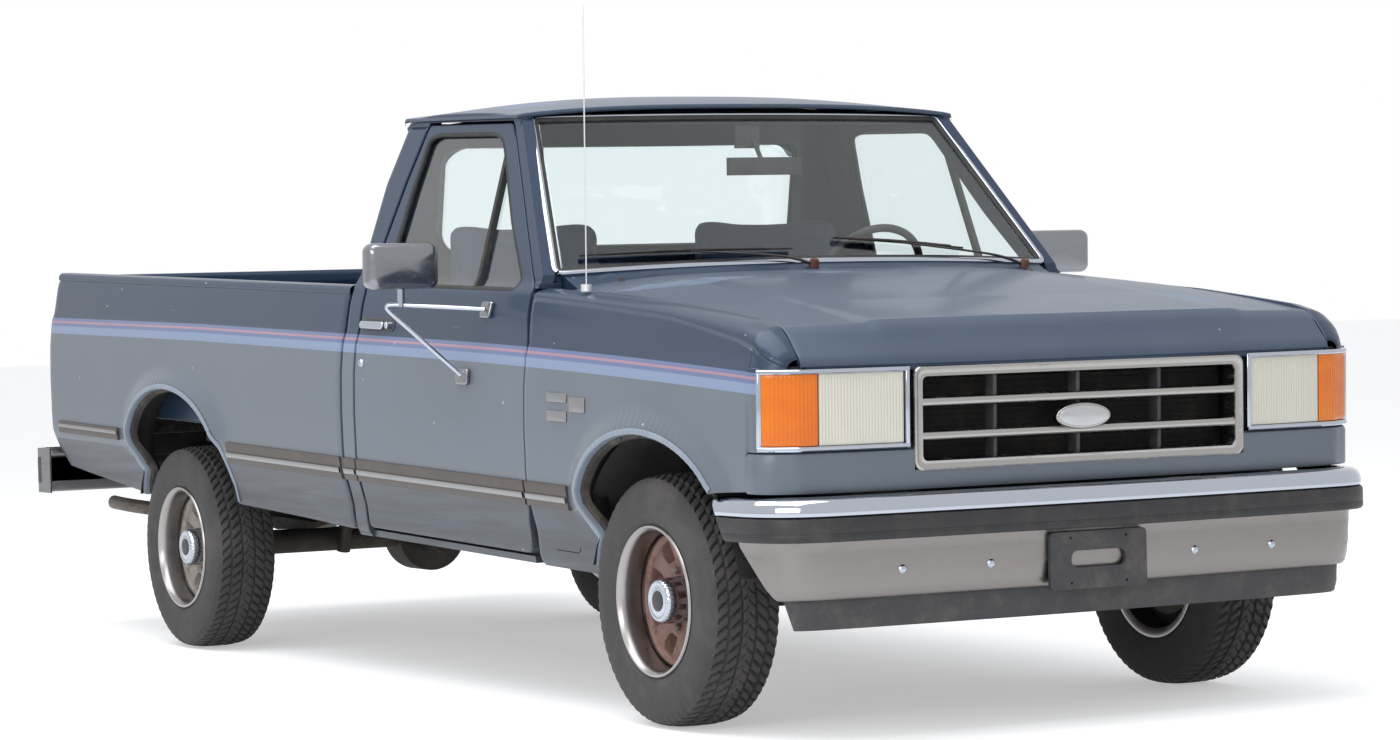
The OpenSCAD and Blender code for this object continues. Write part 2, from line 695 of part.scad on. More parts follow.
module rear_bumper() color(chrome) difference() {
    union() {
        box([rear_face_x, -960, 496], [rear_face_x + 8, 960, 660]);
        box([rear_face_x, -960, 654], [rear_face_x + 124, 960, 660]);
        both() box([rear_face_x, 954, 496], [rear_face_x + 124, 960, 660]);
    }
    translate([rear_face_x + 60, 0, 600]) cylinder(h = 100, r = 12.9, $fn = 48);
}

module fuel_tank() color(black) level() along_x(-2790, -2180) rounded(40) square_between([78, 350], [385,
        485]);

muffler_u = [-2700, -2200];
module exhaust() color("#5a4a40") level() {
    pipe(bent([[-250, -322, 600], [-300, -322, 428], [-700, -270, 428], [-1420, -270, 428], [-1620, -270,
            398],
        [muffler_u[1] - 10, -270, 398]], 60), 26, ref = [0, 1, 0]);
    translate([muffler_u[0], -270, 400]) rotate([0, 90, 0]) cylinder(h = muffler_u[1] - muffler_u[0],
            r = 68);
    pipe(bent([[muffler_u[0] + 10, -270, 400], [-3560, -268, 398], [-3740, -300, 285], [-3930, -600, 282],
        [-4200, -790, 312], [-4312, -805, 318]], 70), 25);
}

// ---------- small pieces ----------

// Pivot and the two ends of the blade of each wiper, up and across the glass
WIPERS = [[[0, 0.485], [0.08, 0.46], [0.1, 0.045]], [[0, 0.94], [0.08, 0.83], [0.147, 0.56]]];

module wipers() color(black) level() for (w = WIPERS) {
    p = [for (q = w) glass_point(q[0], q[1], 21)];
    blade = (p[1] + p[2]) / 2;
    arm_end = blade + [16, 0, 14];
    rod(p[0], arm_end, 5);
    rod(blade, arm_end + [6, 0, 5], 7);
    rod(p[1], p[2], 5);
    translate(p[0] - [0, 0, 5]) cylinder(h = 10, r = 9);
}

module antenna() color("silver") level() translate([-462, -885, hood_line(-462) + 1]) {
    cylinder(h = 20, r = 16);
    cylinder(h = 800, r = 2, $fn = 16);
}

// ---------- assembly ----------

frame_rails();
cab_shell();
cowl();
roof();
windshield();
rear_window();
fender(1);  // fender_left
fender(-1);  // fender_right
front_panel();
grille();
headlamps();
corner_lamps();
front_bumper();
bumper_strip();
air_dam();
plate_bracket();
radiator();
engine_block();
driveline();
front_beams();
rear_axle();
leaf_springs();
shock_absorbers();
exhaust();
fuel_tank();
load_bed();
bedside(1);  // bedside_left
bedside(-1);  // bedside_right
tail_lamps();
rear_bumper();
bench_seat();
dashboard();
steering_column();
cab_mirror();
wipers();
antenna();
hood();
tailgate();
door(1);  // door_left
door(-1);  // door_right
door_glass(1);  // door_glass_left
door_glass(-1);  // door_glass_right
mirror_shape(1);  // mirror_left
mirror_shape(-1);  // mirror_right
knuckle(1);  // knuckle_left
knuckle(-1);  // knuckle_right
steering_wheel();
tyre(front_axle_x, 1);  // tyre_front_left
tyre(front_axle_x, -1);  // tyre_front_right
tyre(rear_axle_x, 1);  // tyre_rear_left
tyre(rear_axle_x, -1);  // tyre_rear_right
wheel(front_axle_x, 1);  // wheel_front_left
wheel(front_axle_x, -1);  // wheel_front_right
wheel(rear_axle_x, 1);  // wheel_rear_left
wheel(rear_axle_x, -1);  // wheel_rear_right
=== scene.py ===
# %% [markdown]
# A long-bed pickup truck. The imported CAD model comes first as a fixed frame, and every surface below is
# drawn in its coordinates, in metres, with X to the front, Y to the left and Z up.

# %% The frame
import bpy, bmesh, math
import numpy as np
from mathutils import Matrix, Vector


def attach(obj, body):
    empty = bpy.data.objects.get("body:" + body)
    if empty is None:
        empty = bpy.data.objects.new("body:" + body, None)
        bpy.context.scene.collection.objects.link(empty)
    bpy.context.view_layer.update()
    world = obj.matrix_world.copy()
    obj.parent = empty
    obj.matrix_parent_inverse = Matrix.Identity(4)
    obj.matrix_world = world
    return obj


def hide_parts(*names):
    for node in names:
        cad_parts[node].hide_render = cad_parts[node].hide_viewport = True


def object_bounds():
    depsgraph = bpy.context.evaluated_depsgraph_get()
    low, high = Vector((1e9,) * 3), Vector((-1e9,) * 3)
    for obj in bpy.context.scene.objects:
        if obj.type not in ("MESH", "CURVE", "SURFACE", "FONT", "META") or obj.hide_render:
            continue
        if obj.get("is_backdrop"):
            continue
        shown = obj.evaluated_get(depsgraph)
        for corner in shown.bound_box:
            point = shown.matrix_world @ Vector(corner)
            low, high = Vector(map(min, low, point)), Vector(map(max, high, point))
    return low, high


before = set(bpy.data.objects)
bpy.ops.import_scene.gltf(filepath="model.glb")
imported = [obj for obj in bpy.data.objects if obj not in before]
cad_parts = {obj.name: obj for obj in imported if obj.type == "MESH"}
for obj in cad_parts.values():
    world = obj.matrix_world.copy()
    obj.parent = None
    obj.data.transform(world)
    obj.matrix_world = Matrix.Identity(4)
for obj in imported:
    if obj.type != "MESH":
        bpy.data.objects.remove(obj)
cad_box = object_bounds()
print("CAD box", cad_box)

# %% [markdown]
# The body of the truck stands a little nose down on its springs. Its panels are easier to describe with
# the truck level, so their numbers are in millimetres in a level frame: u forward from the front axle,
# y to the left, w up. One function turns those numbers into the shared frame.

# %% Level frame
RAKE, FRONT_AXLE, LIFT = math.radians(1.7), 1.9275, 0.018
REAR = -3378.0      # the rear axle, in mm from the front one
TYRE_R = 345.0      # the tyres' radius, and so the height of both axles

def level(u, y, w):
    """Points in metres from millimetres: the (u, w) pair turned by the rake about Y, then moved to the
    axle."""
    u, y, w = np.broadcast_arrays(np.asarray(u, float), np.asarray(y, float), np.asarray(w, float))
    c, s = math.cos(RAKE), math.sin(RAKE)
    return np.stack([FRONT_AXLE + (u * c + w * s) / 1000, y / 1000, LIFT + (w * c - u * s) / 1000], -1)

def upright(x, y, z):
    """Points in metres from millimetres, for what stands square on the ground: x forward from the front
    axle."""
    x, y, z = np.broadcast_arrays(np.asarray(x, float), np.asarray(y, float), np.asarray(z, float))
    return np.stack([FRONT_AXLE + x / 1000, y / 1000, z / 1000], -1)

def from_middle(x, y, z):
    """Points in metres from millimetres, square on the ground, with x forward from the truck's middle."""
    return upright(x - FRONT_AXLE * 1000, y, z)

def face_on(y, w, d):
    """Points drawn in a front view: y to the left, w up and d forward, all in mm."""
    return level(d, y, w)

print("front axle at", upright(0, 0, TYRE_R))

# %% [markdown]
# A surface here is a grid of points: rows and columns worked out as whole arrays. One function joins such
# grids into a mesh, closes their seams, points the faces outwards and hangs the piece on a body. A sheet
# gets its wall thickness from Solidify; a closed shape needs none.

# %% Grids into pieces
made = {}

def grid_faces(rows, cols, start):
    """Four-sided faces of a grid: each joins a point to its right, upper-right and upper neighbour."""
    k = np.arange(rows - 1)[:, None] * cols + np.arange(cols - 1)[None, :] + start
    return np.stack([k, k + 1, k + cols + 1, k + cols], -1).reshape(-1, 4)

def facing(points, centre):
    """Turns a grid round if the faces look towards centre: mean of face normal times outward direction."""
    a, b, c = points[:-1, :-1], points[:-1, 1:], points[1:, :-1]
    normal = np.cross(b - a, c - a)
    return points[:, ::-1] if (normal * (a - centre)).sum() < 0 else points

def piece(name, grids, finish, body="root", hides=(), wall=0.0, centre=None, crease=32):
    """One object from point grids in metres. With wall it is a sheet as thick as wall, grown inwards."""
    if isinstance(grids, np.ndarray):
        grids = [grids]
    middle = level(-1900, 0, 800) if centre is None else np.asarray(centre, float)
    if wall:
        grids = [facing(g, middle) for g in grids]
    points, faces, start = [], [], 0
    for g in grids:
        points.append(g.reshape(-1, 3))
        faces.append(grid_faces(g.shape[0], g.shape[1], start))
        start += g.shape[0] * g.shape[1]
    points, faces = np.concatenate(points), np.concatenate(faces)
    mesh = bpy.data.meshes.new(name)
    mesh.from_pydata(points.tolist(), [], faces.tolist())
    work = bmesh.new()
    work.from_mesh(mesh)
    bmesh.ops.remove_doubles(work, verts=work.verts, dist=2e-5)
    bmesh.ops.dissolve_degenerate(work, edges=work.edges, dist=1e-6)
    if not wall:
        bmesh.ops.recalc_face_normals(work, faces=work.faces)
    work.to_mesh(mesh)
    work.free()
    mesh.polygons.foreach_set("use_smooth", np.ones(len(mesh.polygons), bool))
    mesh.set_sharp_from_angle(angle=math.radians(crease))
    obj = bpy.data.objects.new(name, mesh)
    bpy.context.collection.objects.link(obj)
    if wall:
        skin = obj.modifiers.new("wall", "SOLIDIFY")
        skin.thickness, skin.offset, skin.use_even_offset = wall, -1.0, False
    mesh.materials.append(finish)
    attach(obj, body)
    if hides:
        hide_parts(*([hides] if isinstance(hides, str) else hides))
    made[name] = len(mesh.polygons)
    return obj

def other_side(grids):
    """The same grids mirrored through the truck's middle plane."""
    return [g * np.array([1, -1, 1]) for g in ([grids] if isinstance(grids, np.ndarray) else grids)]

SIDES = (("right", -1), ("left", 1))
PRESSED_STEEL, INNER_STEEL, BED_STEEL = 0.0012, 0.0014, 0.0016      # sheet thicknesses in metres

def on_side(grids, s):
    """Grids drawn for the left, or their mirror image for the right."""
    grids = [grids] if isinstance(grids, np.ndarray) else grids
    return grids if s > 0 else other_side(grids)

# %% [markdown]
# Most lines on the body are drawn through a few points with a soft curve. A Catmull-Rom curve goes
# through each of its points, and its tangent there is half the step between the two neighbours. A small
# moving average rounds the corners of straight-sided outlines.

# %% Curves and outlines
def spline(points, n):
    """n points on the Catmull-Rom curve: cubic in t between neighbours, with tangents (next - previous)
    / 2."""
    p = np.asarray(points, float)
    p = np.vstack([2 * p[0] - p[1], p, 2 * p[-1] - p[-2]])
    x = np.linspace(0, len(p) - 3 - 1e-9, n)
    i = x.astype(int)
    t = (x - i)[:, None]
    a, b, c, d = p[i], p[i + 1], p[i + 2], p[i + 3]
    return 0.5 * (2 * b + (c - a) * t + (2 * a - 5 * b + 4 * c - d) * t ** 2
                  + (3 * b - a - 3 * c + d) * t ** 3)

def along(points, n):
    """n points evenly spaced by length on a chain of straight pieces."""
    p = np.asarray(points, float)
    run = np.concatenate([[0], np.cumsum(np.linalg.norm(np.diff(p, axis=0), axis=1))])
    s = np.linspace(0, 1, n) * run[-1]
    return np.stack([np.interp(s, run, p[:, k]) for k in range(p.shape[1])], -1)

def soften(loop, reach, closed=True):
    """Rounds a chain: each point becomes the Hann-weighted mean of its neighbours within reach steps."""
    h = np.hanning(2 * reach + 3)[1:-1]
    h = h / h.sum()
    if closed:
        q = np.vstack([loop[-reach:], loop, loop[:reach]])
    else:
        q = np.pad(loop, ((reach, reach), (0, 0)), mode="reflect", reflect_type="odd")
    return np.stack([np.convolve(q[:, k], h, "valid") for k in range(loop.shape[1])], -1)

def sides_loop(sides, counts):
    """A closed outline from its sides: each is resampled evenly, and the last point of one starts the
    next."""
    return np.vstack([along(s, n + 1)[:-1] for s, n in zip(sides, counts)])

def rounded_rect(a, b, r, n=8):
    """Outline of a rectangle from a to b with round corners: a quarter circle of radius r at each
    corner."""
    t = np.linspace(0, math.pi / 2, n)
    out = []
    for k, (x, y) in enumerate([(b[0] - r, b[1] - r), (a[0] + r, b[1] - r), (a[0] + r, a[1] + r),
                                (b[0] - r, a[1] + r)]):
        out.append(np.stack([x + r * np.cos(t + k * math.pi / 2), y + r * np.sin(t + k * math.pi / 2)], -1))
    return np.vstack(out)

def ramp(v):
    """A slope with level ends: the value itself between 0 and 1, and 0 or 1 outside."""
    return np.clip(v, 0, 1)

def closed(loop):
    """The loop with its first point again at the end."""
    return np.vstack([loop, loop[:1]])

def between(inner, outer, rows):
    """Straight lines from one outline to another: inner * (1 - t) + outer * t."""
    t = np.asarray(rows if not np.isscalar(rows) else np.linspace(0, 1, rows), float)[:, None, None]
    return inner[None] * (1 - t) + outer[None] * t

# %% [markdown]
# Round bars, trims and turned parts share three recipes: a tube along a path, a flat profile carried along
# a path, and a profile turned about an axis. Blocks with round edges are stacks of one outline that
# shrinks at both ends.

# %% Tubes, swept profiles, turned parts and blocks
def frames(path):
    """Unit tangent of each path point and two directions square to it, turned as little as possible."""
    t = np.gradient(path, axis=0)
    t /= np.linalg.norm(t, axis=1, keepdims=True) + 1e-12
    side = np.zeros_like(t)
    ref = np.array([0, 0, 1.0]) if abs(t[0, 2]) < 0.9 else np.array([1.0, 0, 0])
    v = np.cross(ref, t[0])
    for i in range(len(t)):
        v = v - t[i] * (v @ t[i])
        v /= np.linalg.norm(v) + 1e-12
        side[i] = v
    return t, side, np.cross(t, side)

def tangents(path):
    """Unit tangents of a chain of points: the slope of each coordinate, divided by its length."""
    t = np.gradient(path, axis=0)
    return t / np.linalg.norm(t, axis=1, keepdims=True)

def capped(ring):
    """Closes a swept section at both ends: an added row repeats the mean point of the end row."""
    ends = [np.repeat(ring[k].mean(0)[None, None], ring.shape[1], 1) for k in (0, -1)]
    return np.concatenate([ends[0], ring, ends[1]])

def turn_down(g, steps, way, both=True):
    """Folds a sheet's edges down along way: steps of (outwards, down) in mm, at its start and its end."""
    axis = 1 if way[1] else 0
    first, last = (g[:, :1], g[:, -1:]) if axis else (g[:1], g[-1:])
    start = [first + np.array([way[0] * a, way[1] * a, -b]) for a, b in steps] if both else []
    end = [last + np.array([-way[0] * a, -way[1] * a, -b]) for a, b in steps]
    return np.concatenate([*start[::-1], g, *end], axis)

def tube(path, r, sides=12, flat=1.0):
    """Round bar of radius r along a path: circle in the plane square to the tangent, closed at both
    ends."""
    path = np.asarray(path, float)
    t, a, b = frames(path)
    r = np.broadcast_to(np.asarray(r, float), (len(path),))
    q = np.linspace(0, 2 * math.pi, sides + 1)
    c, s = np.cos(q)[None, :, None], np.sin(q)[None, :, None]
    ring = path[:, None] + r[:, None, None] * (c * a[:, None] + flat * s * b[:, None])
    ends = [np.repeat(path[k][None, None], sides + 1, 1) for k in (0, -1)]
    return np.concatenate([ends[0], ring, ends[1]])

def sweep(path, profile, out, up):
    """A closed profile carried along a path: point = path + first * out + second * up, with flat ends."""
    path, profile = np.asarray(path, float), closed(np.asarray(profile, float))
    out, up = (np.broadcast_to(np.asarray(v, float), path.shape) for v in (out, up))
    ring = path[:, None] + profile[None, :, :1] * out[:, None] + profile[None, :, 1:] * up[:, None]
    return capped(ring)

def turned(profile, centre, axis, n=48):
    """A profile of (radius, distance along the axis) turned about it: circles of that radius."""
    axis = np.asarray(axis, float) / np.linalg.norm(axis)
    ref = np.array([0, 0, 1.0]) if abs(axis[2]) < 0.9 else np.array([1.0, 0, 0])
    a = np.cross(ref, axis)
    a /= np.linalg.norm(a)
    b = np.cross(axis, a)
    q = np.linspace(0, 2 * math.pi, n + 1)
    p = np.asarray(profile, float)
    c, s = np.cos(q)[None, :, None], np.sin(q)[None, :, None]
    return centre + p[:, None, 1:] * axis + p[:, None, :1] * (c * a + s * b)

def block(outline, low, high, round_by, place):
    """A block with soft edges: the outline shrunk towards its middle by a quarter circle at each end."""
    mid = (outline.max(0) + outline.min(0)) / 2
    half = (outline.max(0) - outline.min(0)) / 2
    q = np.linspace(0, math.pi / 2, 4)
    inset = np.concatenate([[half.min()], round_by * (1 - np.sin(q)), round_by * (1 - np.cos(q)),
                            [half.min()]])
    depth = np.concatenate([[low], low + round_by * (1 - np.cos(q)), high - round_by * (1 - np.sin(q)),
                            [high]])
    ring = closed(outline)
    scale = 1 - np.minimum(inset[:, None] / half[None], 1)
    flat = mid + (ring[None] - mid) * scale[:, None, :]
    flat[0], flat[-1] = mid, mid
    return place(flat[..., 0], flat[..., 1], np.broadcast_to(depth[:, None], flat.shape[:2]))

def box_at(low, high, round_by=3.0, place=level):
    """A block between two corners with edges rounded by round_by."""
    r = min(round_by, min(np.subtract(high, low)) * 0.45)
    outline = rounded_rect(low[:2], high[:2], r, 4)
    return block(outline, low[2], high[2], r, place)

print("helpers ready")

# %% [markdown]
# A finish is a tree of nodes. One small class wraps a socket, so that an expression such as
# 1 - mask * 0.3 adds the Math nodes by itself; colours are mixed with a Mix node, because Math would
# turn them grey. Patterns read Object coordinates, which stay with the piece.

# %% Node expressions
class Wire:
    """A node's output that can be used in sums."""
    def __init__(self, finish, socket):
        self.finish, self.socket = finish, socket
    def math(self, operation, *others):
        """Puts this wire first in a Math node."""
        return self.finish.math(operation, self, *others)
    def __add__(self, o): return self.math("ADD", o)
    def __radd__(self, o): return self.math("ADD", o)
    def __mul__(self, o): return self.math("MULTIPLY", o)
    def __rmul__(self, o): return self.math("MULTIPLY", o)
    def __sub__(self, o): return self.math("SUBTRACT", o)
    def __rsub__(self, o): return self.finish.math("SUBTRACT", o, self)
    def __truediv__(self, o): return self.math("DIVIDE", o)

class Finish:
    """A material under construction."""
    def __init__(self, name):
        self.material = bpy.data.materials.new(name)
        self.material.use_nodes = True
        self.tree = self.material.node_tree
        self.shader = self.tree.nodes["Principled BSDF"]
        self.coords = None
    def node(self, kind, settings=None, **inputs):
        """A node of any type: its settings first, then the values or wires of its sockets."""
        n = self.tree.nodes.new(kind)
        for key, value in (settings or {}).items():
            setattr(n, key, value)
        for key, value in inputs.items():
            self.plug(n.inputs[int(key[1:])] if key[0] == "i" and key[1:].isdigit()
                      else n.inputs[key.replace("_", " ")], value)
        return n
    def plug(self, socket, value):
        """Sets a socket: links a wire to it, or writes a constant value on it."""
        if isinstance(value, Wire):
            self.tree.links.new(value.socket, socket)
        elif socket.type == "RGBA" and len(value) == 3:
            socket.default_value = (*value, 1.0)
        else:
            socket.default_value = value
    def wire(self, node, output=0):
        """One output of a node, by number or by name, ready for sums."""
        return Wire(self, node.outputs[output])
    def math(self, operation, *values):
        """A Math node with wires or numbers in its sockets."""
        return self.wire(self.node("ShaderNodeMath", {"operation": operation},
                                   **{f"i{k}": v for k, v in enumerate(values)}))
    def position(self):
        """Object coordinates in metres, from one shared node."""
        if self.coords is None:
            self.coords = self.wire(self.node("ShaderNodeTexCoord"), "Object")
        return self.coords
    def axes(self):
        """The three numbers of the position, in metres."""
        n = self.node("ShaderNodeSeparateXYZ", Vector=self.position())
        return [self.wire(n, k) for k in range(3)]
    def height(self):
        """Height over the level frame's ground, in millimetres: (x - axle) sin(rake) + (z - lift)
        cos(rake)."""
        x, _, z = self.axes()
        return ((x - FRONT_AXLE) * math.sin(RAKE) + (z - LIFT) * math.cos(RAKE)) * 1000.0
    def noise(self, scale, detail=3.0, rough=0.5, stretch=(1, 1, 1), seed=(0, 0, 0)):
        """Cloudy pattern from 0 to 1, stretched along an axis by a small number there."""
        m = self.node("ShaderNodeMapping", Vector=self.position(), Scale=stretch, Location=seed)
        return self.wire(self.node("ShaderNodeTexNoise", Vector=self.wire(m), Scale=scale, Detail=detail,
                                   Roughness=rough), "Fac")
    def step(self, value, low, high):
        """0 below low, 1 above high and a smooth slope between."""
        return self.wire(self.node("ShaderNodeMapRange", {"interpolation_type": "SMOOTHSTEP"}, Value=value,
                                   From_Min=low, From_Max=high), "Result")
    def mix(self, factor, a, b):
        """Colour a where factor is 0, b where it is 1."""
        n = self.node("ShaderNodeMix", {"data_type": "RGBA"})
        for key, value in ((0, factor), (6, a), (7, b)):
            self.plug(n.inputs[key], value)
        return self.wire(n, 2)
    def bump(self, height, distance, strength=1.0):
        """A normal tilted by the slope of height, which stands for distance in metres."""
        n = self.node("ShaderNodeBump", Height=height, Strength=strength, Distance=distance)
        return self.wire(n, "Normal")
    def done(self, **inputs):
        """Sets the shader's own sockets and returns the finished material."""
        for key, value in inputs.items():
            self.plug(self.shader.inputs[key.replace("_", " ")], value)
        return self.material

def srgb(r, g, b):
    """Linear colour from the 0-255 numbers of a colour swatch: ((c / 255 + 0.055) / 1.055) to the power
    2.4."""
    return tuple(((c / 255 + 0.055) / 1.055) ** 2.4 if c > 10 else c / 3294.6 for c in (r, g, b))

print("node expressions ready")

# %% [markdown]
# The body is two-tone: dark blue-grey above, light grey below, with a tape of three stripes between them.
# The stripes run along the level frame's height on every panel, so one finish paints them all from
# position alone. The clear coat is old: it has dull clouds, fine scratches, small chips and dust low down.

# %% Body paint
STRIPE_BLUE = (98, 110, 146)
# Where each stripe starts, over a soft edge in mm of height, and its colour
STRIPES = [(944.0, 946.0, (124, 140, 168)), (971.0, 973.0, STRIPE_BLUE), (982.5, 984.0, (156, 124, 138)),
           (990.0, 991.5, STRIPE_BLUE)]
TAPE_TOP = (1000.5, 1002.0)
# Where the clear coat has peeled on the hood and roof: middle (u, y) and half sizes, in mm
PEELS = [(-330, -620, 60, 210), (-430, -90, 45, 90), (-1330, -560, 80, 120), (-1500, -250, 40, 120),
         (330, 640, 120, 60)]

def body_paint(name, two_tone=True, peeled=False):
    """Old car paint. The tape dips with the square of the distance ahead of u = -1264, and straight
    behind -3110; a peeled
    patch is where ((x - cu) / ru)^2 + ((y - cy) / ry)^2 is under 1, with a ragged edge."""
    f = Finish(name)
    w = f.height()
    cloud = f.noise(1.6, 4.0, 0.6)
    fine = f.noise(900.0, 2.0, 0.5)
    dark = f.mix(cloud, srgb(27, 45, 67), srgb(38, 57, 81))
    x, y, z = f.axes()
    if two_tone:
        u = (x - FRONT_AXLE) * 1000.0
        ahead = ((u + 1264.0) / 1841.0).math("MAXIMUM", 0.0)
        w = w + ahead * ahead * 29.0 + ((-3110.0 - u) / 1353.0).math("MAXIMUM", 0.0) * 12.0
        light = f.mix(cloud, srgb(90, 98, 107), srgb(105, 113, 122))
        colour = light
        for low, high, tone in STRIPES:
            colour = f.mix(f.step(w, low, high), colour, srgb(*tone))
        colour = f.mix(f.step(w, *TAPE_TOP), colour, dark)
        # Below the moulding the paint is mixed towards dark slate: painted shade of the sill, which tucks in
        # towards the ground.
        painted_sill_shade = f.step(f.height(), 556.0, 548.0)
        colour = f.mix(painted_sill_shade * 0.85, colour, srgb(44, 52, 64))
        streak = f.noise(7.0, 5.0, 0.7, (0.35, 1, 6.0))
        dust = f.step(f.height(), 620.0, 380.0) * f.step(streak, 0.38, 0.75)
        colour = f.mix(dust * 0.3, colour, srgb(139, 132, 122))
    else:
        colour = dark
        dust = f.noise(3.0, 4.0, 0.6) * 0.12
    chips = f.wire(f.node("ShaderNodeTexVoronoi", Vector=f.position(), Scale=9.0), "Distance")
    chip = f.step(chips + f.noise(160.0, 2.0) * 0.05, 0.062, 0.052)
    colour = f.mix(chip * 0.75, colour, srgb(196, 200, 202))
    scratch = f.noise(60.0, 3.0, 0.7, (0.05, 1.0, 1.4))
    thin = f.step(scratch, 0.73, 0.76)
    colour = f.mix(thin * 0.25, colour, srgb(168, 172, 176))
    rough = 0.30 + cloud * 0.14 + dust * 0.35 + fine * 0.05
    if peeled:
        ragged = f.noise(26.0, 5.0, 0.65) * 90.0
        px, py = (x - FRONT_AXLE) * 1000.0, y * 1000.0
        peel = None
        for cu, cy, ru, ry in PEELS:
            d = ((px - cu) / ru).math("POWER", 2.0) + ((py - cy) / ry).math("POWER", 2.0)
            patch = f.step(d + (ragged - 45.0) * 0.035, 1.1, 0.9)
            peel = patch if peel is None else peel.math("MAXIMUM", patch)
        colour = f.mix(peel * 0.7, colour, srgb(120, 134, 160))
        colour = f.mix(0.25 + cloud * 0.5, colour, srgb(84, 96, 112))
        rough = rough + peel * 0.3 + 0.06
    orange = f.noise(420.0, 1.0)
    return f.done(Base_Color=colour, Metallic=0.2, Roughness=rough, Coat_Weight=0.25 - dust * 0.2,
                  Specular_IOR_Level=0.35, Coat_Roughness=0.12, Normal=f.bump(orange, 0.00006, 0.5))

paint = body_paint("two_tone_paint")
top_paint = body_paint("hood_and_roof_paint", two_tone=False, peeled=True)
plain_paint = body_paint("bed_and_cab_paint", two_tone=False)

# %% [markdown]
# Bright trim is chromed steel with a film of dust and fine pits. The aluminium trims are the same metal
# with a softer gloss. Black parts are moulded plastic or painted steel, never one flat colour: they are
# greyer where the sun and the road have worn them.

# %% Metals, plastics and rubber
def bright(name, tone, gloss=0.07, grime=0.5, pits=True):
    """Bare or plated metal: roughness is gloss, plus more where specks and smears of dirt lie on it."""
    f = Finish(name)
    cloud = f.noise(5.0, 5.0, 0.65)
    speck = f.step(f.noise(260.0, 2.0, 0.5), 0.66, 0.74)
    smear = f.step(f.noise(14.0, 4.0, 0.7, (1, 1, 3)), 0.45, 0.85)
    colour = f.mix(speck * (0.35 if pits else 0.1), tone, srgb(110, 96, 84))
    colour = f.mix(smear * 0.12 * grime, colour, srgb(150, 142, 130))
    rough = gloss + smear * 0.22 * grime + speck * 0.25 + cloud * 0.04
    return f.done(Base_Color=colour, Metallic=1.0, Roughness=rough,
                  Normal=f.bump(f.noise(90.0, 2.0), 0.00004, 0.4))

def dull(name, low, high, rough=0.55, grain=500.0, depth=0.0001, dust=0.3, metallic=0.0):
    """A moulded or painted part: two tones in clouds, dust on top and a fine grain."""
    f = Finish(name)
    cloud = f.noise(6.0, 5.0, 0.6)
    colour = f.mix(cloud, srgb(*low), srgb(*high))
    dirt = f.step(f.noise(11.0, 5.0, 0.7, seed=(3, 1, 2)), 0.42, 0.78) * dust
    colour = f.mix(dirt, colour, srgb(128, 118, 104))
    grainy = f.noise(grain, 2.0, 0.5)
    return f.done(Base_Color=colour, Metallic=metallic, Roughness=rough + dirt * 0.3 + cloud * 0.08,
                  Normal=f.bump(grainy, depth, 0.6))

# The chrome's base colour is tinted blue: a painted reflection of the sky.
chrome = bright("chromed_steel_sky_tinted", (0.42, 0.45, 0.51), 0.06, 0.4, False)
alloy = bright("brushed_alloy_trim", (0.45, 0.46, 0.48), 0.24, 0.8)
silver_insert = bright("silver_moulding_insert", (0.27, 0.265, 0.27), 0.30, 0.5)
black_plastic = dull("weathered_black_plastic", (40, 40, 44), (58, 58, 63), 0.5)
# This near-black finish is painted shade: it goes on sheets and parts set where the truck lies in shade.
painted_shade_black = dull("painted_shade_near_black", (9, 9, 10), (16, 16, 17), 0.8, dust=0.08)
chassis = dull("dusty_chassis_black", (26, 26, 27), (44, 42, 40), 0.7, 220.0, 0.0004, 0.5, 0.2)
moulding = dull("brown_grey_moulding", (58, 50, 48), (80, 72, 68), 0.42, 400.0, 0.00008, 0.2)
seal_rubber = dull("window_rubber", (18, 18, 20), (32, 32, 34), 0.6, 700.0, 0.00006, 0.15)
print(len(bpy.data.materials), "finishes")

# %% [markdown]
# The side of a pickup is one long curved sheet: widest at the tape stripes, tucked in below the moulding
# and leaning in above. Fenders swell a little around the wheels. One function gives the half-width at any
# place on the side, and every side panel is laid on it, so the panels line up from nose to tail.

# %% The side surface
SIDE = np.array([(905, 366), (920, 400), (928, 470), (944, 530), (958, 575), (962, 640), (966, 760),
                 (965, 880), (957, 975), (945, 1006), (932, 1090), (916, 1150), (892, 1184), (752, 1650),
                 (737, 1700)], float)
heights = np.arange(300.0, 1700.0)
widths = np.interp(heights, SIDE[:, 1], SIDE[:, 0])
widths = np.convolve(np.pad(widths, 12, mode="edge"), np.hanning(27)[1:-1] / np.hanning(27).sum(), "valid")

NOSE_PLAN = np.array([(692, 0), (691, 300), (690, 540), (681, 720), (664, 868), (628, 935), (590, 961),
                      (556, 964)], float)
nose_line = soften(along(NOSE_PLAN, 400), 9, closed=False)
nose_line[:, 1] = np.maximum.accumulate(nose_line[:, 1])

ARCH = np.array([(-345, 400), (-325, 450), (-308, 480), (-318, 498), (-350, 528), (-366, 565), (-362, 605),
                 (-335, 655), (-280, 708), (-205, 748), (-120, 774), (-20, 787), (70, 785), (160, 772),
                 (250, 745), (330, 705), (399, 650)], float)
arch_line = spline(ARCH, 161)
rear_arch = spline(np.vstack([ARCH, [(440, 592), (470, 524), (487, 460), (494, 424)]]), 181)
FLARE, FLARE_FADE = 25.0, 84.0

def flare(u, w, axle, lower=0.0):
    """Swell around a wheel arch: full at the lip, falling off as a raised cosine of the distance to it."""
    u, w = np.broadcast_arrays(np.asarray(u, float), np.asarray(w, float))
    flat = np.stack([u.ravel() - axle, w.ravel() + lower], -1)
    gap = np.sqrt(((flat[:, None] - arch_line[None, 22::3]) ** 2).sum(-1)).min(1).reshape(u.shape)
    low = ramp((w - 520) / 90)
    return FLARE * low * (0.5 + 0.5 * np.cos(np.pi * ramp(gap / FLARE_FADE)))

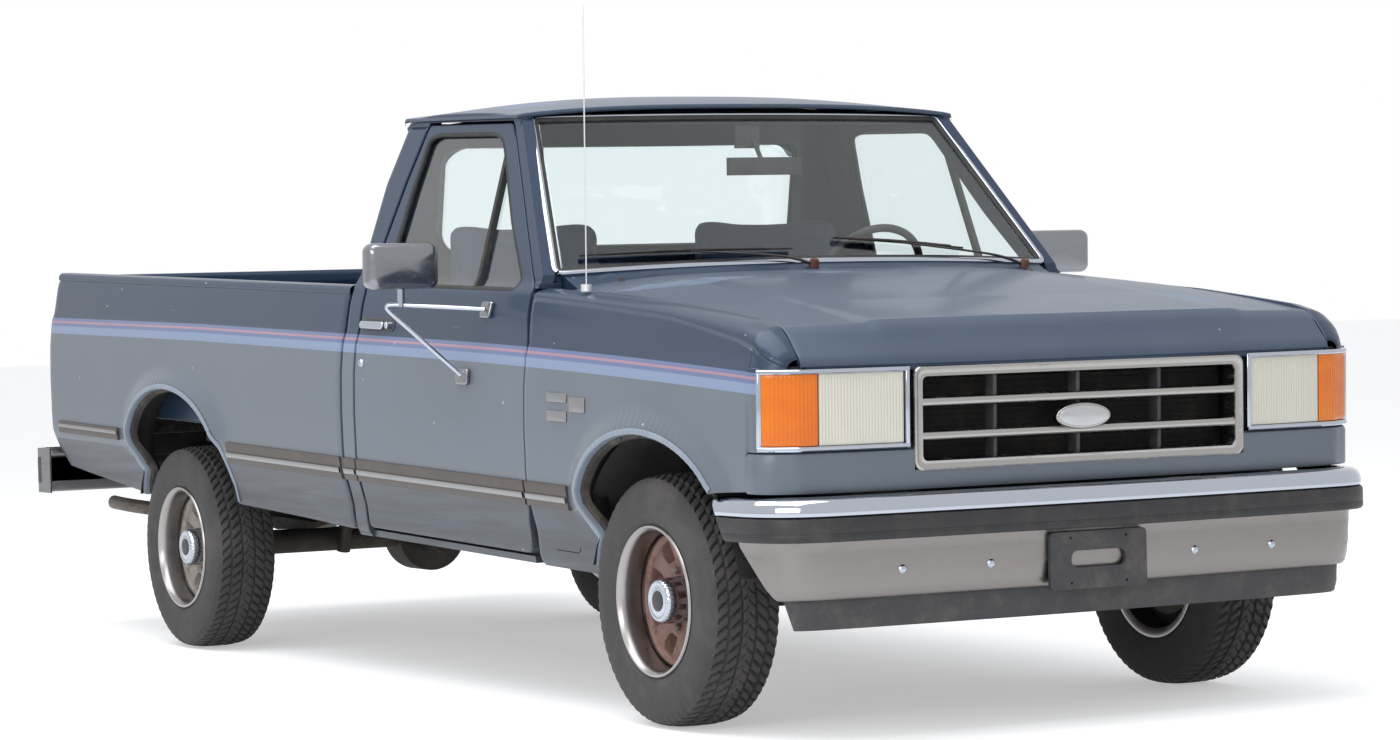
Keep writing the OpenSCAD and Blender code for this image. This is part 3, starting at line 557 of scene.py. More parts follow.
def side(u, w):
    """Half-width of the body in mm: the section table, less the nose taper, plus the two arch swells."""
    u = np.asarray(u, float)
    taper = np.where(u < 556, 2.2 * ramp((u - 250) / 306) ** 2,
                     966 - np.interp(-u, -nose_line[:, 0], nose_line[:, 1]))
    return np.interp(w, heights, widths) - taper + flare(u, w, 0.0) + flare(u, w, REAR, 10.0)

def on_skin(u, w, out=0.0):
    """Points on the side surface at (u, w), moved outwards by out."""
    return level(u, side(u, w) + out, w)

def hem(loop_in, loop_out, rows, fold=3.0, flange=16.0, folded=1.0):
    """A side panel between two matched outlines: straight rows, then a quarter-round of radius fold and
    a flange
    inwards. Where folded is 0 the outer edge stays flat, because another sheet goes on from it."""
    out = loop_out - loop_in
    unit = out / (np.linalg.norm(out, axis=1, keepdims=True) + 1e-9)
    folded = np.broadcast_to(np.asarray(folded, float), (len(out),))[:, None]
    q = np.array([0.0, 0.5, 1.0]) * math.pi / 2
    a, b = loop_in + unit * fold, loop_out - unit * fold * folded
    stack = [(loop_in, -flange)]
    stack += [(loop_in + unit * fold * (1 - math.cos(k)), -fold * (1 - math.sin(k))) for k in q]
    stack += [(a * (1 - k) + b * k, 0.0) for k in np.linspace(0, 1, rows)[1:-1]]
    stack += [(loop_out - unit * fold * folded * (1 - math.cos(k)), -fold * folded[:, 0] * (1 - math.sin(k)))
              for k in q[::-1]]
    stack += [(loop_out, -flange * folded[:, 0])]
    flat = np.stack([s[0] for s in stack])
    drop = np.stack([np.broadcast_to(s[1], (len(out),)) for s in stack])
    return on_skin(flat[..., 0], flat[..., 1], drop)

print("half-width at the stripes", float(side(-1200, 960)))

# %% [markdown]
# The front fender is pressed in one piece from the hood's edge down to the bumper in front of the wheel
# and down to the sill behind it. Its patch runs from the arch lip out to the fender's outline: each point
# of the arch is joined to a matched point of the outline. Its top rolls over to the hood, and a small
# corner reaches forward over the lamp.

# %% Front fenders
def hood_seam(u):
    """Height of the seam between fender and hood: rises slowly to the cowl, and drops over the nose."""
    return np.interp(u, [-724, -648, -462, -187, 39, 271, 481, 556, 597, 630, 646, 653],
                     [1161, 1160, 1154, 1144, 1135, 1118, 1100, 1085, 1055, 1021, 1001, 987])

def lip_line(end, n):
    """The arch curve of one wheel with n points; the rear one is 10 mm lower and runs on down to the
    sill."""
    return along(arch_line, n) if end == "front" else along(rear_arch, n) + np.array([REAR, -10.0])

N_ARCH = 240

def roll(u):
    """How far below the seam the fender starts to turn over to its top: more towards the nose."""
    return np.interp(u, [-722, 100, 556, 597, 630, 646], [22, 30, 55, 45, 28, 20])

arch_front = lip_line("front", N_ARCH)
top_u = np.linspace(-722, 556, 90)
fender_outline = along(np.vstack([
    [(-345, 372), (-690, 372), (-700, 380)],
    [(-700, 380), (-700, 560), (-700, 975), (-704, 1010), (-716, 1090), (-722, 1161 - 22)],
    np.stack([top_u, hood_seam(top_u) - roll(top_u)], -1),
    [(563, 1022), (563, 981), (563, 778), (557, 768), (557, 660), (412, 650)]]), N_ARCH)
rolled = (fender_outline[:, 1] > 1020) & (fender_outline[:, 0] > -721)
forward = (fender_outline[:, 0] > 554) & ((fender_outline[:, 1] > 981) | (fender_outline[:, 1] < 769))
flat_edge = 1.0 - (rolled | forward)
roll_u = np.linspace(-722, 646, 160)
q = np.linspace(0, math.pi / 2, 9)[:, None]
low_w = hood_seam(roll_u) - roll(roll_u)
cap_y = 858 + (side(roll_u, low_w) - 858) * np.cos(q)
cap_w = low_w + (roll(roll_u) + 2) * np.sin(q)
cap = np.concatenate([level(roll_u + 0 * q, cap_y, cap_w), level(roll_u, 856.0, hood_seam(roll_u) - 1)[None],
                      level(roll_u, 855.0, hood_seam(roll_u) - 22)[None]])
corner_u = np.linspace(563, 646, 30)
k = np.linspace(0, 1, 14)[:, None]
corner_w = 980 + (np.maximum(hood_seam(corner_u) - roll(corner_u), 981) - 980) * k
corner = on_skin(corner_u + 0 * k, corner_w)
under = np.stack([on_skin(corner_u, 980.0), level(corner_u, side(corner_u, 980.0) - 1.5, 977.5),
                  level(corner_u, side(corner_u, 980.0) - 30, 977.0)])
for name, s in SIDES:
    shell = hem(arch_front, fender_outline, 26, 3.0, 20.0, folded=flat_edge)
    piece(f"front_fender_{name}", on_side([shell, cap, corner, under], s), paint,
          hides=f"fender_{name}", wall=PRESSED_STEEL)
print(len(made), "pieces")

# %% [markdown]
# The hood is a broad sheet with a raised middle, a lip that hangs over the lamps and a slight arch across.
# It hinges at the cowl, so its stamped inner frame shows when it is open. Both are pressed sheets on the
# real truck; here both are grids over the same height formula.

# %% Hood
NOSE_TOP, HOOD_HALF = 556.0, 850.0

def hood_height(u, y):
    """Side line 1085 + 75 (1 - (1 - t)^2), plus an arch that falls off as y^4 and a low plateau in the
    middle."""
    t = ramp((NOSE_TOP - u) / 1204.0)
    k = np.abs(y) / HOOD_HALF
    arch = (8 + 34 * ramp((200 - u) / 800)) * (1 - k ** 4)
    edge = 600 - 60 * t
    plateau = 7.0 * (0.5 + 0.5 * np.tanh((edge - np.abs(y)) / 16)) * ramp((u + 560) / 250)
    return 1085 + 75 * (1 - (1 - t) ** 2) + arch + plateau

def hood_sheet(drop=0.0, inset=0.0, rows=90, cols=140):
    """The hood's grid: the nose rows under the lip, then the top; folded down at both sides and at the
    back."""
    y = np.linspace(-HOOD_HALF + inset, HOOD_HALF - inset, cols)
    lip = 38 * (1 - (np.abs(y) / HOOD_HALF) ** 3)
    nose = spline([(92, 980), (98, 987), (90, 1004), (74, 1021), (56, 1039), (41, 1055), (30, 1066),
                   (15, 1077), (0, 1085)], 22)[:-1]
    base = hood_height(np.full_like(y, NOSE_TOP), y)
    part = ramp((nose[:, 1:] - 980) / 105)
    rows_nose = np.stack([NOSE_TOP + lip + nose[:, :1] + 0 * y, y + 0 * nose[:, :1],
                          nose[:, 1:] + part ** 2 * (base - 1085)], -1)
    t = np.linspace(0, 1, rows)[:, None]
    u = NOSE_TOP + lip * (1 - t) - t * (1156 - inset)
    w = hood_height(np.minimum(u, NOSE_TOP + 0 * u), y)
    rows_top = np.stack([u, y + 0 * t, w], -1)
    g = np.concatenate([rows_nose, rows_top])
    g[..., 2] -= drop
    bend = ((1.5, 0.4), (2.6, 1.5), (3.0, 3.0))
    return turn_down(turn_down(g, (*bend, (3.0, 18.0)), (0, -1)), (*bend, (3.0, 16.0)), (1, 0), both=False)

outer = hood_sheet()
piece("hood_panel", level(outer[..., 0], outer[..., 1], outer[..., 2]), top_paint, "hood",
      "hood", wall=PRESSED_STEEL, centre=level(0, 0, 300))
under = hood_sheet(14.0, 16.0, 70, 94)
uu, yy = under[..., 0], under[..., 1]
bays = [ramp(np.abs(np.sin(v * np.pi)) * 3 - 0.9) for v in ((uu + 60) / 300, yy / 330)]
cells = bays[0] * bays[1]
inside = ramp((700 - np.abs(yy)) / 40) * ramp((uu + 520) / 40) * ramp((420 - uu) / 40)
under[..., 2] += 10.0 * cells * inside
piece("hood_inner_frame", level(uu, yy, under[..., 2]), plain_paint, "hood",
      wall=PRESSED_STEEL, centre=level(0, 0, 300))
for name, s in SIDES:
    arm = tube(level([-598, -560, -500], [s * 700] * 3, [1188, 1150, 1140]), 0.008, 10)
    piece(f"hood_hinge_{name}", arm, chassis, "hood")
hinge_bar = tube(level([-598, -598], [-262, 262], [1192, 1192]), 0.006, 12)
piece("hood_hinge_pin", hinge_bar, chassis, "hood")

# %% [markdown]
# The roof is a shallow crown with drip rails along both sides. Inside it has a cloth headliner.

# %% Roof and drip rails
def roof_grid(rows, cols, drop=0.0):
    """Roof formula: front and rear edges bow with 1 - k^2, and the crown is a flattened arch both ways."""
    s, t = np.linspace(0, 1, rows)[:, None], np.linspace(0, 1, cols)[None, :]
    k = 2 * t - 1
    bow = 1 - k ** 2
    u = (1 - s) * (-1122 + 26 * bow) - s * (1882 + 10 * bow)
    rise = 6 + 60 * (1 - np.abs(k) ** 2.6) ** 0.8 * np.sin(np.pi * (0.14 + 0.74 * s)) ** 0.8
    return u, k * 760 + 0 * s, 1661 + rise - drop

u, y, w = roof_grid(70, 100)
g = turn_down(np.stack([u, y, w], -1), ((2, 1), (3.2, 4), (3.4, 10)), (0, -1))
g = turn_down(g, ((3, 1), (5, 5), (5.5, 14)), (1, 0))
piece("roof_panel", level(g[..., 0], g[..., 1], g[..., 2]), top_paint, hides="roof",
      wall=PRESSED_STEEL, centre=level(-1500, 0, 1000))
headliner_cloth = dull("headliner_cloth", (92, 96, 104), (110, 114, 121), 0.95, 900.0, 0.0006, 0.05)
u, y, w = roof_grid(30, 40, 26.0)
piece("headliner", level(u * 0.985 - 22, y * 0.94, w - 6), headliner_cloth, wall=0.003,
      centre=level(-1500, 0, 2400))
for name, s in SIDES:
    path = spline([(-1108, 716, 1648), (-1160, 737, 1657), (-1300, 741, 1662), (-1500, 742, 1665),
                   (-1700, 741, 1663), (-1830, 738, 1652), (-1894, 733, 1630)], 60)
    rail = sweep(level(path[:, 0], s * path[:, 1], path[:, 2]),
                 np.array([(0, 0), (0.016, -0.001), (0.019, 0.002), (0.019, 0.009), (0.016, 0.009),
                           (0.015, 0.004), (0.003, 0.004), (0, 0.012)]), np.array([0, s, 0]),
                 np.array([0, 0, 1.0]))
    piece(f"drip_rail_{name}", rail, paint)
print(len(made), "pieces")

# %% [markdown]
# Each door is a pressed skin over a frame. The patch runs from the window opening out to the door's edge;
# the sides of the U below the window fan out from the window's bottom line. Both edges fold inwards, an
# inner skin closes the box, and a vinyl card with an armrest covers it.

# %% Doors
WINDOW = [[(-1770, 1153), (-862, 1153)], [(-862, 1153), (-838, 1185), (-1000, 1352), (-1192, 1596)],
          [(-1192, 1596), (-1250, 1616), (-1660, 1618), (-1712, 1602)],
          [(-1712, 1602), (-1742, 1440), (-1770, 1153)]]
DOOR = [[(-1852, 1165), (-1852, 402), (-742, 402), (-742, 480), (-706, 560), (-706, 975), (-714, 1006),
         (-738, 1090), (-747, 1150)],
        [(-747, 1150), (-748, 1160), (-787, 1194), (-1160, 1642)], [(-1160, 1642), (-1722, 1644)],
        [(-1722, 1644), (-1784, 1470), (-1832, 1290), (-1852, 1180), (-1852, 1165)]]
COUNTS = (120, 50, 40, 50)
window_loop = soften(sides_loop(WINDOW, COUNTS), 3)
door_loop = soften(sides_loop(DOOR, COUNTS), 1)

def window_grown(by):
    """The window outline moved out by a distance along its own normal."""
    t = np.roll(window_loop, -1, 0) - np.roll(window_loop, 1, 0)
    t /= np.linalg.norm(t, axis=1, keepdims=True)
    return window_loop + by * np.stack([t[:, 1], -t[:, 0]], -1)

def on_side_at(loop, lift):
    """A loop of (u, w) laid on the side surface, moved out by lift."""
    return on_skin(loop[:, 0], loop[:, 1], lift)

cab_glass = Finish("tinted_glass")
smudge = cab_glass.step(cab_glass.noise(7.0, 5.0, 0.7), 0.45, 0.8)
glass = cab_glass.done(Base_Color=(0.90, 0.96, 0.97), Roughness=smudge * 0.03, Transmission_Weight=1.0,
                       IOR=1.45, Specular_IOR_Level=0.3)
vinyl = dull("door_card_vinyl", (58, 66, 84), (72, 80, 98), 0.6, 260.0, 0.0005, 0.1)
out_sign = np.cross(np.roll(window_loop, -1, 0) - window_loop, window_loop - window_loop.mean(0)).mean()
grow = 1.0 if out_sign < 0 else -1.0
for name, s in SIDES:
    body = f"door_{name}"
    skin = hem(closed(window_loop), closed(door_loop), 64, 3.0, 38.0)
    flat = between(closed(window_loop), closed(door_loop), 40)
    back = on_skin(flat[..., 0], flat[..., 1], -37.0)
    piece(f"door_skin_{name}", on_side([skin], s), paint, body, f"door_{name}",
          wall=PRESSED_STEEL)
    piece(f"door_inner_{name}", on_side([back], s), paint, body, wall=PRESSED_STEEL,
          centre=level(-1300, s * 3000, 900))
    card_outline = soften(along([(-800, 545), (-1795, 545), (-1795, 1128), (-800, 1128), (-800, 545)],
                                140)[:-1], 4)
    card = block(card_outline, 0.0, 40.0, 10.0, lambda u, w, d: level(u, side(u, w) - 40.0 - d, w))
    rest = block(soften(along([(-1120, 850), (-1560, 850), (-1560, 910), (-1120, 910), (-1120, 850)],
                              60)[:-1], 4), 0.0, 52.0, 16.0,
                 lambda u, w, d: level(u, side(u, w) - 78.0 - d, w))
    piece(f"door_card_{name}", on_side([card], s), vinyl, body)
    piece(f"armrest_{name}", on_side([rest], s), vinyl, body)
    crank = [turned([(0, 0), (0.016, 0), (0.018, 0.006), (0.012, 0.014), (0, 0.014)],
                    on_skin(-1000, 800, -80), (0, -1, 0), 20),
             tube(np.stack([on_skin(-1000, 800, -92), level(-1040, side(-1040, 830) - 96, 850),
                            level(-1070, side(-1070, 860) - 98, 880)]), 0.006, 10),
             tube(np.stack([on_skin(-1070, 880, -96), on_skin(-1070, 880, -126)]), 0.010, 12)]
    piece(f"window_crank_{name}", on_side(crank, s), chrome, body)
    pane_loop = window_grown(9.0 * grow)
    middle = np.full_like(pane_loop, 0) + np.array([-1330.0, 1380.0])
    flat = between(closed(middle), closed(pane_loop), 18)
    pane = on_skin(flat[..., 0], flat[..., 1], -14.0)
    piece(f"door_pane_{name}", on_side([pane], s), glass, body, f"door_glass_{name}",
          wall=0.004)
    seal_path = on_side_at(closed(window_loop), -4.0)
    normal = on_side_at(closed(window_loop), 1.0) - on_side_at(closed(window_loop), 0.0)
    normal /= np.linalg.norm(normal, axis=1, keepdims=True)
    inward = on_side_at(closed(window_grown(-grow)), 0.0) - on_side_at(closed(window_loop), 0.0)
    inward /= np.linalg.norm(inward, axis=1, keepdims=True)
    seal_shape = closed(np.array([(-3, 3), (2, 5), (9, 4), (12, 0), (12, -7), (-3, -7)])) / 1000
    seal = (seal_path[:, None] + seal_shape[None, :, :1] * inward[:, None]
            + seal_shape[None, :, 1:] * normal[:, None])
    piece(f"window_seal_{name}", on_side([seal], s), seal_rubber, body)
    bar_line = along([(-1127, 1148), (-1160, 1606)], 24)
    bar = sweep(on_side_at(bar_line, -9.0),
                np.array([(-0.011, -0.012), (-0.009, 0.008), (0.009, 0.008), (0.011, -0.012)]),
                np.array([1.0, 0, 0]), np.array([0, 1.0, 0.29]) / 1.04)
    piece(f"vent_bar_{name}", on_side([bar], s), seal_rubber, body)
    cup = block(rounded_rect((-1840, 1016), (-1606, 1056), 19, 8), -2.0, 3.0, 2.0, on_skin)
    pull = block(rounded_rect((-1824, 1022), (-1660, 1046), 11, 8), 10.0, 21.0, 5.0, on_skin)
    posts = [tube(np.stack([level(u, 940, 1036), level(u, 958, 1036)]), 0.009, 12) for u in (-1810, -1676)]
    button = turned([(0, 0.030), (0.008, 0.030), (0.011, 0.027), (0.012, 0.0), (0, 0.0)],
                    level(-1628, 934, 1036), (0, 1, 0), 24)
    piece(f"handle_cup_{name}", on_side([cup], s), black_plastic, body)
    piece(f"handle_pull_{name}", on_side([pull, *posts, button], s), chrome, body)
    lock = turned([(0, 0.003), (0.003, 0.003), (0.004, 0.006), (0.011, 0.006), (0.013, 0.003),
                   (0.014, -0.002)],
                  on_skin(-1808, 914), (0, 1, 0), 28)
    piece(f"door_lock_{name}", on_side([lock], s), chrome, body)
print(len(made), "pieces")

# %% [markdown]
# The cargo bed has the same side surface as the cab. Its skin runs from the rear arch out to a plain
# outline, a rolled rail caps it, and inside are ribbed walls, a corrugated floor and two wheelhouses.

# %% Bed sides
arch_rear = lip_line("rear", N_ARCH)
bed_outline = np.vstack([
    along([(REAR - 345, 392), (-3760, 398), (-4200, 432), (-4434, 452)], 26)[:-1],
    along([(-4434, 452), (-4500, 520), (-4519, 590), (-4515, 700), (-4515, 760), (-4515, 1126)], 26)[:-1],
    along([(-4515, 1126), (-1967, 1126)], 60)[:-1],
    along([(-1967, 1126), (-1967, 388)], 26)[:-1],
    along([(-1967, 388), (-2400, 400), (-2878, 408)], 26)])
bed_outline = along(bed_outline, 240)
rail_profile = np.array([(-0.5, 1124), (0.6, 1129), (0, 1138), (-5, 1146), (-14, 1150), (-46, 1150),
                         (-54, 1147), (-58, 1140), (-60, 1128), (-60, 1096)])
for name, s in SIDES:
    skin = hem(arch_rear, bed_outline, 34, 3.0, 24.0)
    piece(f"bed_side_skin_{name}", on_side([skin], s), paint, hides=f"bedside_{name}",
          wall=PRESSED_STEEL)
    u = np.concatenate([[-4516, -4515.5], np.linspace(-4514, -1969, 60), [-1967.5, -1967]])
    base = side(u, 1126.0)
    top = level(u[:, None], base[:, None] + rail_profile[None, :, 0], rail_profile[None, :, 1])
    piece(f"bed_rail_{name}", on_side([top], s), paint, wall=BED_STEEL)
    u = np.linspace(-4488, -1972, 180)[:, None]
    w = np.linspace(652, 1110, 40)[None, :]
    ribs = (6.0 * ramp(np.abs(np.sin((u + 1972) / 420 * np.pi)) * 4 - 1.2) * ramp((w - 880) / 30)
            * ramp((1085 - w) / 20))
    wall = level(u, 856.0 + ribs, w)
    piece(f"bed_inner_wall_{name}", on_side([wall], s), plain_paint, wall=INNER_STEEL,
          centre=level(-3200, s * 4000, 900))
    t = np.linspace(0, math.pi, 48)
    shape = np.stack([REAR + 400 * np.sign(np.cos(t)) * np.abs(np.cos(t)) ** 0.55,
                      652 + 208 * np.sin(t) ** 0.55], -1)
    rows = [(858.0, 0.0), (648.0, 0.0), (638.0, 3.0), (632.0, 12.0)]
    centre = np.array([REAR, 652.0])
    house = np.stack([level(centre[0] + (shape[:, 0] - centre[0]) * (1 - d / 400), yy,
                            centre[1] + (shape[:, 1] - centre[1]) * (1 - d / 208)) for yy, d in rows]
                     + [level(centre[0] + (shape[:, 0] - centre[0]) * k, 631.0,
                              centre[1] + (shape[:, 1] - centre[1]) * k) for k in (0.6, 0.0)])
    piece(f"wheelhouse_{name}", on_side([house], s), plain_paint, wall=INNER_STEEL,
          centre=level(REAR, s * 900, 560))

# %% [markdown]
# The floor is one corrugated sheet with ribs along it. The front wall is stamped in the same way, and the
# tailgate has a shallow recessed panel on its outer face.

# %% Bed floor, front wall and tailgate
u = np.linspace(-4488, -1980, 16)[:, None]
y = np.linspace(-858, 858, 420)[None, :]
rib = 7.0 * ramp(np.abs(((y / 76.0) % 1.0) - 0.5) * 8 - 1.2)
inside = (np.abs(y) < 640) * 1.0
piece("bed_floor_sheet", level(u, y, 648.0 + rib * inside + 7 * (1 - inside)), plain_paint,
      hides="load_bed", wall=BED_STEEL, centre=level(-3200, 0, 0))
y = np.linspace(-858, 858, 96)[:, None]
w = np.linspace(650, 1138, 50)[None, :]
stamp = 7.0 * ramp(np.abs(np.sin(w / 118.0 * np.pi)) * 3 - 0.9) * ramp((800 - np.abs(y)) / 20)
piece("bed_front_wall", level(-1972.0 - stamp, y, w), plain_paint, wall=BED_STEEL,
      centre=level(-9000, 0, 900))
piece("bed_front_rail", box_at((-2004, -905, 1118), (-1968, 905, 1150), 8.0), paint)
piece("bed_under_beams", [box_at((u - 30, -840, 590), (u + 30, 840, 646), 5.0)
                          for u in (-2150, -2700, -3320, -3900, -4430)], chassis)

def gate_face(front, cols=150, rows=60):
    """One face of the tailgate: flat, with a rounded border and a soft-edged recess; front is +1
    outside, -1 inside."""
    y = np.unique(np.concatenate([np.linspace(-838, 838, cols),
                                  [-837, -835, -832, -828, 837, 835, 832, 828]]))[None, :]
    w = np.unique(np.concatenate([np.linspace(663, 1138, rows),
                                  [664, 666, 669, 673, 1137, 1135, 1132, 1128]]))[:, None]
    edge = np.minimum(np.minimum(838 - np.abs(y), w - 663), 1138 - w)
    r = 10.0
    roundness = r - np.sqrt(np.clip(r ** 2 - np.clip(r - edge, 0, r) ** 2, 0, None))
    soft = lambda v: 0.5 + 0.5 * np.sin(np.pi * np.clip(v / 14, -0.5, 0.5))
    if front > 0:
        depth = 9.0 * soft(700 - np.abs(y)) * soft(w - 745) * soft(1030 - w)
    else:
        depth = (8.0 * soft(740 - np.abs(y)) * soft(np.abs(np.sin(y / 148.0)) * 60 - 12) * soft(w - 720)
                 * soft(1090 - w))
    half = np.where(edge <= 0, 0.0, 23.0 - roundness - depth)
    return level(-4511 - front * half, y + 0 * w, w + 0 * y)

piece("tailgate_shell", [gate_face(1), gate_face(-1)], paint, "tailgate", "tailgate")
piece("tailgate_top_cap", box_at((-4530, -834, 1130), (-4492, 834, 1141), 5.0), paint, "tailgate")
latch = [box_at((-4538, -92, 1046), (-4533, 92, 1096), 2.4),
         box_at((-4545, -74, 1056), (-4536, 74, 1084), 4.0)]
piece("tailgate_handle", latch, black_plastic, "tailgate")
for name, s in SIDES:
    pin = tube(level([-4500, -4500], [s * 828, s * 850], [698, 698]), 0.008, 16)
    piece(f"tailgate_trunnion_{name}", pin, chassis, "tailgate")

red = Finish("red_lens")
red_lens = red.done(Base_Color=srgb(150, 14, 18), Roughness=0.18, Coat_Weight=1.0,
                    Normal=red.bump(red.wire(red.node("ShaderNodeTexWave", {"bands_direction": "Z"},
                                                      Vector=red.position(), Scale=26.0), "Fac"), 0.0006,
                                                      0.6))
clear_lens = bright("reverse_lens", (0.85, 0.85, 0.83), 0.12, 0.3)
for name, s in SIDES:
    lens = [box_at((-4535, 860, 765), (-4513, 928, 905), 6.0),
            box_at((-4535, 860, 965), (-4513, 928, 1058), 6.0)]
    white_lens = box_at((-4534, 860, 907), (-4513, 928, 963), 6.0)
    frame_lamp = box_at((-4530, 855, 758), (-4508, 931, 1064), 7.0)
    piece(f"tail_lens_{name}", on_side(lens, s), red_lens,
          hides="tail_lamps" if s > 0 else ())
    piece(f"reverse_lens_{name}", on_side([white_lens], s), clear_lens)
    piece(f"tail_lamp_frame_{name}", on_side([frame_lamp], s), chrome)

# %% [markdown]
# Along the side runs a moulding: a brown-grey plastic band with a silver insert. A lip edges each wheel
# arch, painted a lighter grey than the body: body colour plus a painted highlight where its bulge catches
# the light. A plain flange and small screws sit inside it. Three small blank plates are on the fender.

# %% Mouldings and arch lips
def side_bar(u0, u1, w0, w1, thick, round_by=3.0, n=80, lift=0.0):
    """A bar laid along the side: its rounded section is carried along u, and both ends are closed."""
    u = np.linspace(u0, u1, n)
    width = w1 - w0
    prof = np.vstack([[(0, -1)], [(0, thick - round_by)], [(round_by * 0.3, thick - round_by * 0.3)],
                      [(round_by, thick)], [(width - round_by, thick)],
                      [(width - round_by * 0.3, thick - round_by * 0.3)], [(width, thick - round_by)],
                      [(width, -1)]])
    w = w0 + prof[:, 0]
    ring = level(u[:, None], side(u[:, None], w[None, :]) + lift + prof[None, :, 1], w[None, :])
    return capped(ring)

PARTS = {"fender": (-448, -700, "root"), "door": (-712, -1848, None), "quarter": (-1858, -1944, "root"),
         "bed": (-1972, -2882, "root")}
for name, s in SIDES:
    for part, (u0, u1, body) in PARTS.items():
        body = body or f"door_{name}"
        piece(f"moulding_{part}_{name}", on_side([side_bar(u0, u1, 546, 616, 9.0)], s), moulding, body)
        piece(f"moulding_insert_{part}_{name}",
              on_side([side_bar(u0 - 4, u1 + 4, 566, 583, 3.5, 1.5, lift=8.0)], s), silver_insert, body)
    piece(f"moulding_rear_{name}", on_side([side_bar(-3856, -4431, 574, 616, 9.0)], s), moulding)
    piece(f"moulding_insert_rear_{name}", on_side([side_bar(-3862, -4427, 594, 607, 3.5, 1.5, lift=8.0)], s),
          silver_insert)

def arch_trim(end, sections, n=170):
    """A strip along an arch: section points are (distance inwards from the lip, height over the skin) in
    mm."""
    at = lip_line(end, n)
    t = tangents(at)
    inward = np.stack([t[:, 1], -t[:, 0]], -1)
    sec = np.asarray(sections, float)
    u = at[:, None, 0] + inward[:, None, 0] * sec[None, :, 0]
    w = at[:, None, 1] + inward[:, None, 1] * sec[None, :, 0]
    base = side(at[:, 0], at[:, 1])[:, None]
    ring = level(u, base + sec[None, :, 1], w)
    return capped(ring)

LIP = [(-13, 0), (-13, 2.5), (-9, 5.0), (-2, 5.5), (3, 3.5), (5, -1), (5, -16), (3, -16), (2, -2), (-6, 0),
       (-13, 0)]
FLANGE = [(1, -12), (3, -17), (13, -20), (15, -26), (15, -40), (13, -40), (11, -26), (0, -21), (1, -12)]
flange_finish = dull("arch_flange", (34, 33, 33), (58, 55, 52), 0.75, 240.0, 0.0004, 0.5)
# The lip's finish is a lighter grey than the body: body colour plus a painted highlight where its bulge
# catches the light.
lip_highlight_paint = dull("arch_lip_highlight_paint", (112, 124, 138), (140, 150, 162), 0.3, 300.0, 0.00005, 0.25)
for name, s in SIDES:
    for end in ("front", "rear"):
        piece(f"arch_lip_{end}_{name}", on_side([arch_trim(end, LIP)], s), lip_highlight_paint)
        piece(f"arch_flange_{end}_{name}", on_side([arch_trim(end, FLANGE)], s), flange_finish)
        k = np.linspace(14, 146, 9).astype(int)
        line = lip_line(end, 161)
        heads = []
        for i in k:
            t = line[i + 1] - line[i - 1]
            t /= np.linalg.norm(t)
            p = line[i] + np.array([t[1], -t[0]]) * 8
            heads.append(turned([(0, 0.004), (0.004, 0.0035), (0.006, 0), (0.006, -0.006)],
                                on_skin(p[0], p[1], -17.0), (0, 1, 0), 14))
        piece(f"arch_screws_{end}_{name}", on_side(heads, s), black_plastic)
    plates = [block(rounded_rect((u0, w0), (u1, w1), 4, 5), 0.0, 3.5, 1.4, on_skin)
              for u0, w0, u1, w1 in ((-556, 850, -438, 876), (-420, 826, -330, 868), (-556, 796, -438, 826))]
    piece(f"blank_plates_{name}", on_side(plates, s), silver_insert)
print(len(made), "pieces")

# %% [markdown]
# The windshield is a gently curved laminated sheet. It sits in a black gasket with a bright moulding over
# it. The rear window is flat, in a rubber seal. Two wiper arms rest near the bottom of the glass.

# %% Windshield, rear window and wipers
def screen(s, t, out=0.0):
    """The windshield: a sheet bowed across by 1 - k^2, leaning back with s, offset along u by out."""
    k = 2 * t - 1
    return level(-735 - 395 * s + (38 - 14 * s) * (1 - k ** 2) + out, k * (838 - 133 * s),
                 1205 + 448 * s + (22 - 16 * s) * (1 - k ** 2))

s_, t_ = np.linspace(-0.01, 1.0, 40)[:, None], np.linspace(0.0, 1.0, 70)[None, :]
piece("windshield_glass", screen(s_, t_, 1.0), glass, hides="windshield", wall=0.005)

def screen_border(n, inset):
    """A closed line round the windshield, inset by a share of its size, with small round corners."""
    a = inset
    corners = sides_loop([[(a, a), (a, 1 - a)], [(a, 1 - a), (1 - a, 1 - a)], [(1 - a, 1 - a), (1 - a, a)],
                          [(1 - a, a), (a, a)]], (n, n // 2, n, n // 2))
    return closed(soften(corners, 2))

line = screen_border(120, 0.0)
p = screen(line[:, 0], line[:, 1], 2.0)
middle = screen(np.array([0.5]), np.array([0.5]), 0.0)[0]
t = tangents(p)
face = np.cross(t, middle - p)
face /= np.linalg.norm(face, axis=1, keepdims=True)
face *= np.sign(face[:, :1])
inward = np.cross(face, t)
inward *= np.sign((inward * (middle - p)).sum(1, keepdims=True))
gasket_shape = np.array([(-10, -8), (-10, 4), (-6, 7), (6, 7), (14, 4), (16, 0), (16, -8)]) / 1000
trim_shape = np.array([(-15, -2), (-14, 6), (-9, 9.5), (-3, 10), (1, 8), (2, 4), (-4, 2)]) / 1000

def ring_of(shape):
    """A closed profile carried round the windshield: first number inwards, second off the glass."""
    q = closed(shape)
    return p[:, None] + q[None, :, :1] * inward[:, None] + q[None, :, 1:] * face[:, None]

piece("windshield_gasket", ring_of(gasket_shape), seal_rubber)
piece("windshield_moulding", ring_of(trim_shape), chrome)

rear_loop = rounded_rect((-652, 1248), (652, 1586), 60, 14)

def rear_at(y, w, out):
    """A point on the cab's back wall: its side-view line, plus an offset backwards."""
    return level(np.interp(w, [1200, 1289, 1462, 1590, 1660], [-1946, -1942, -1929, -1885, -1854]) - out, y,
                 w)

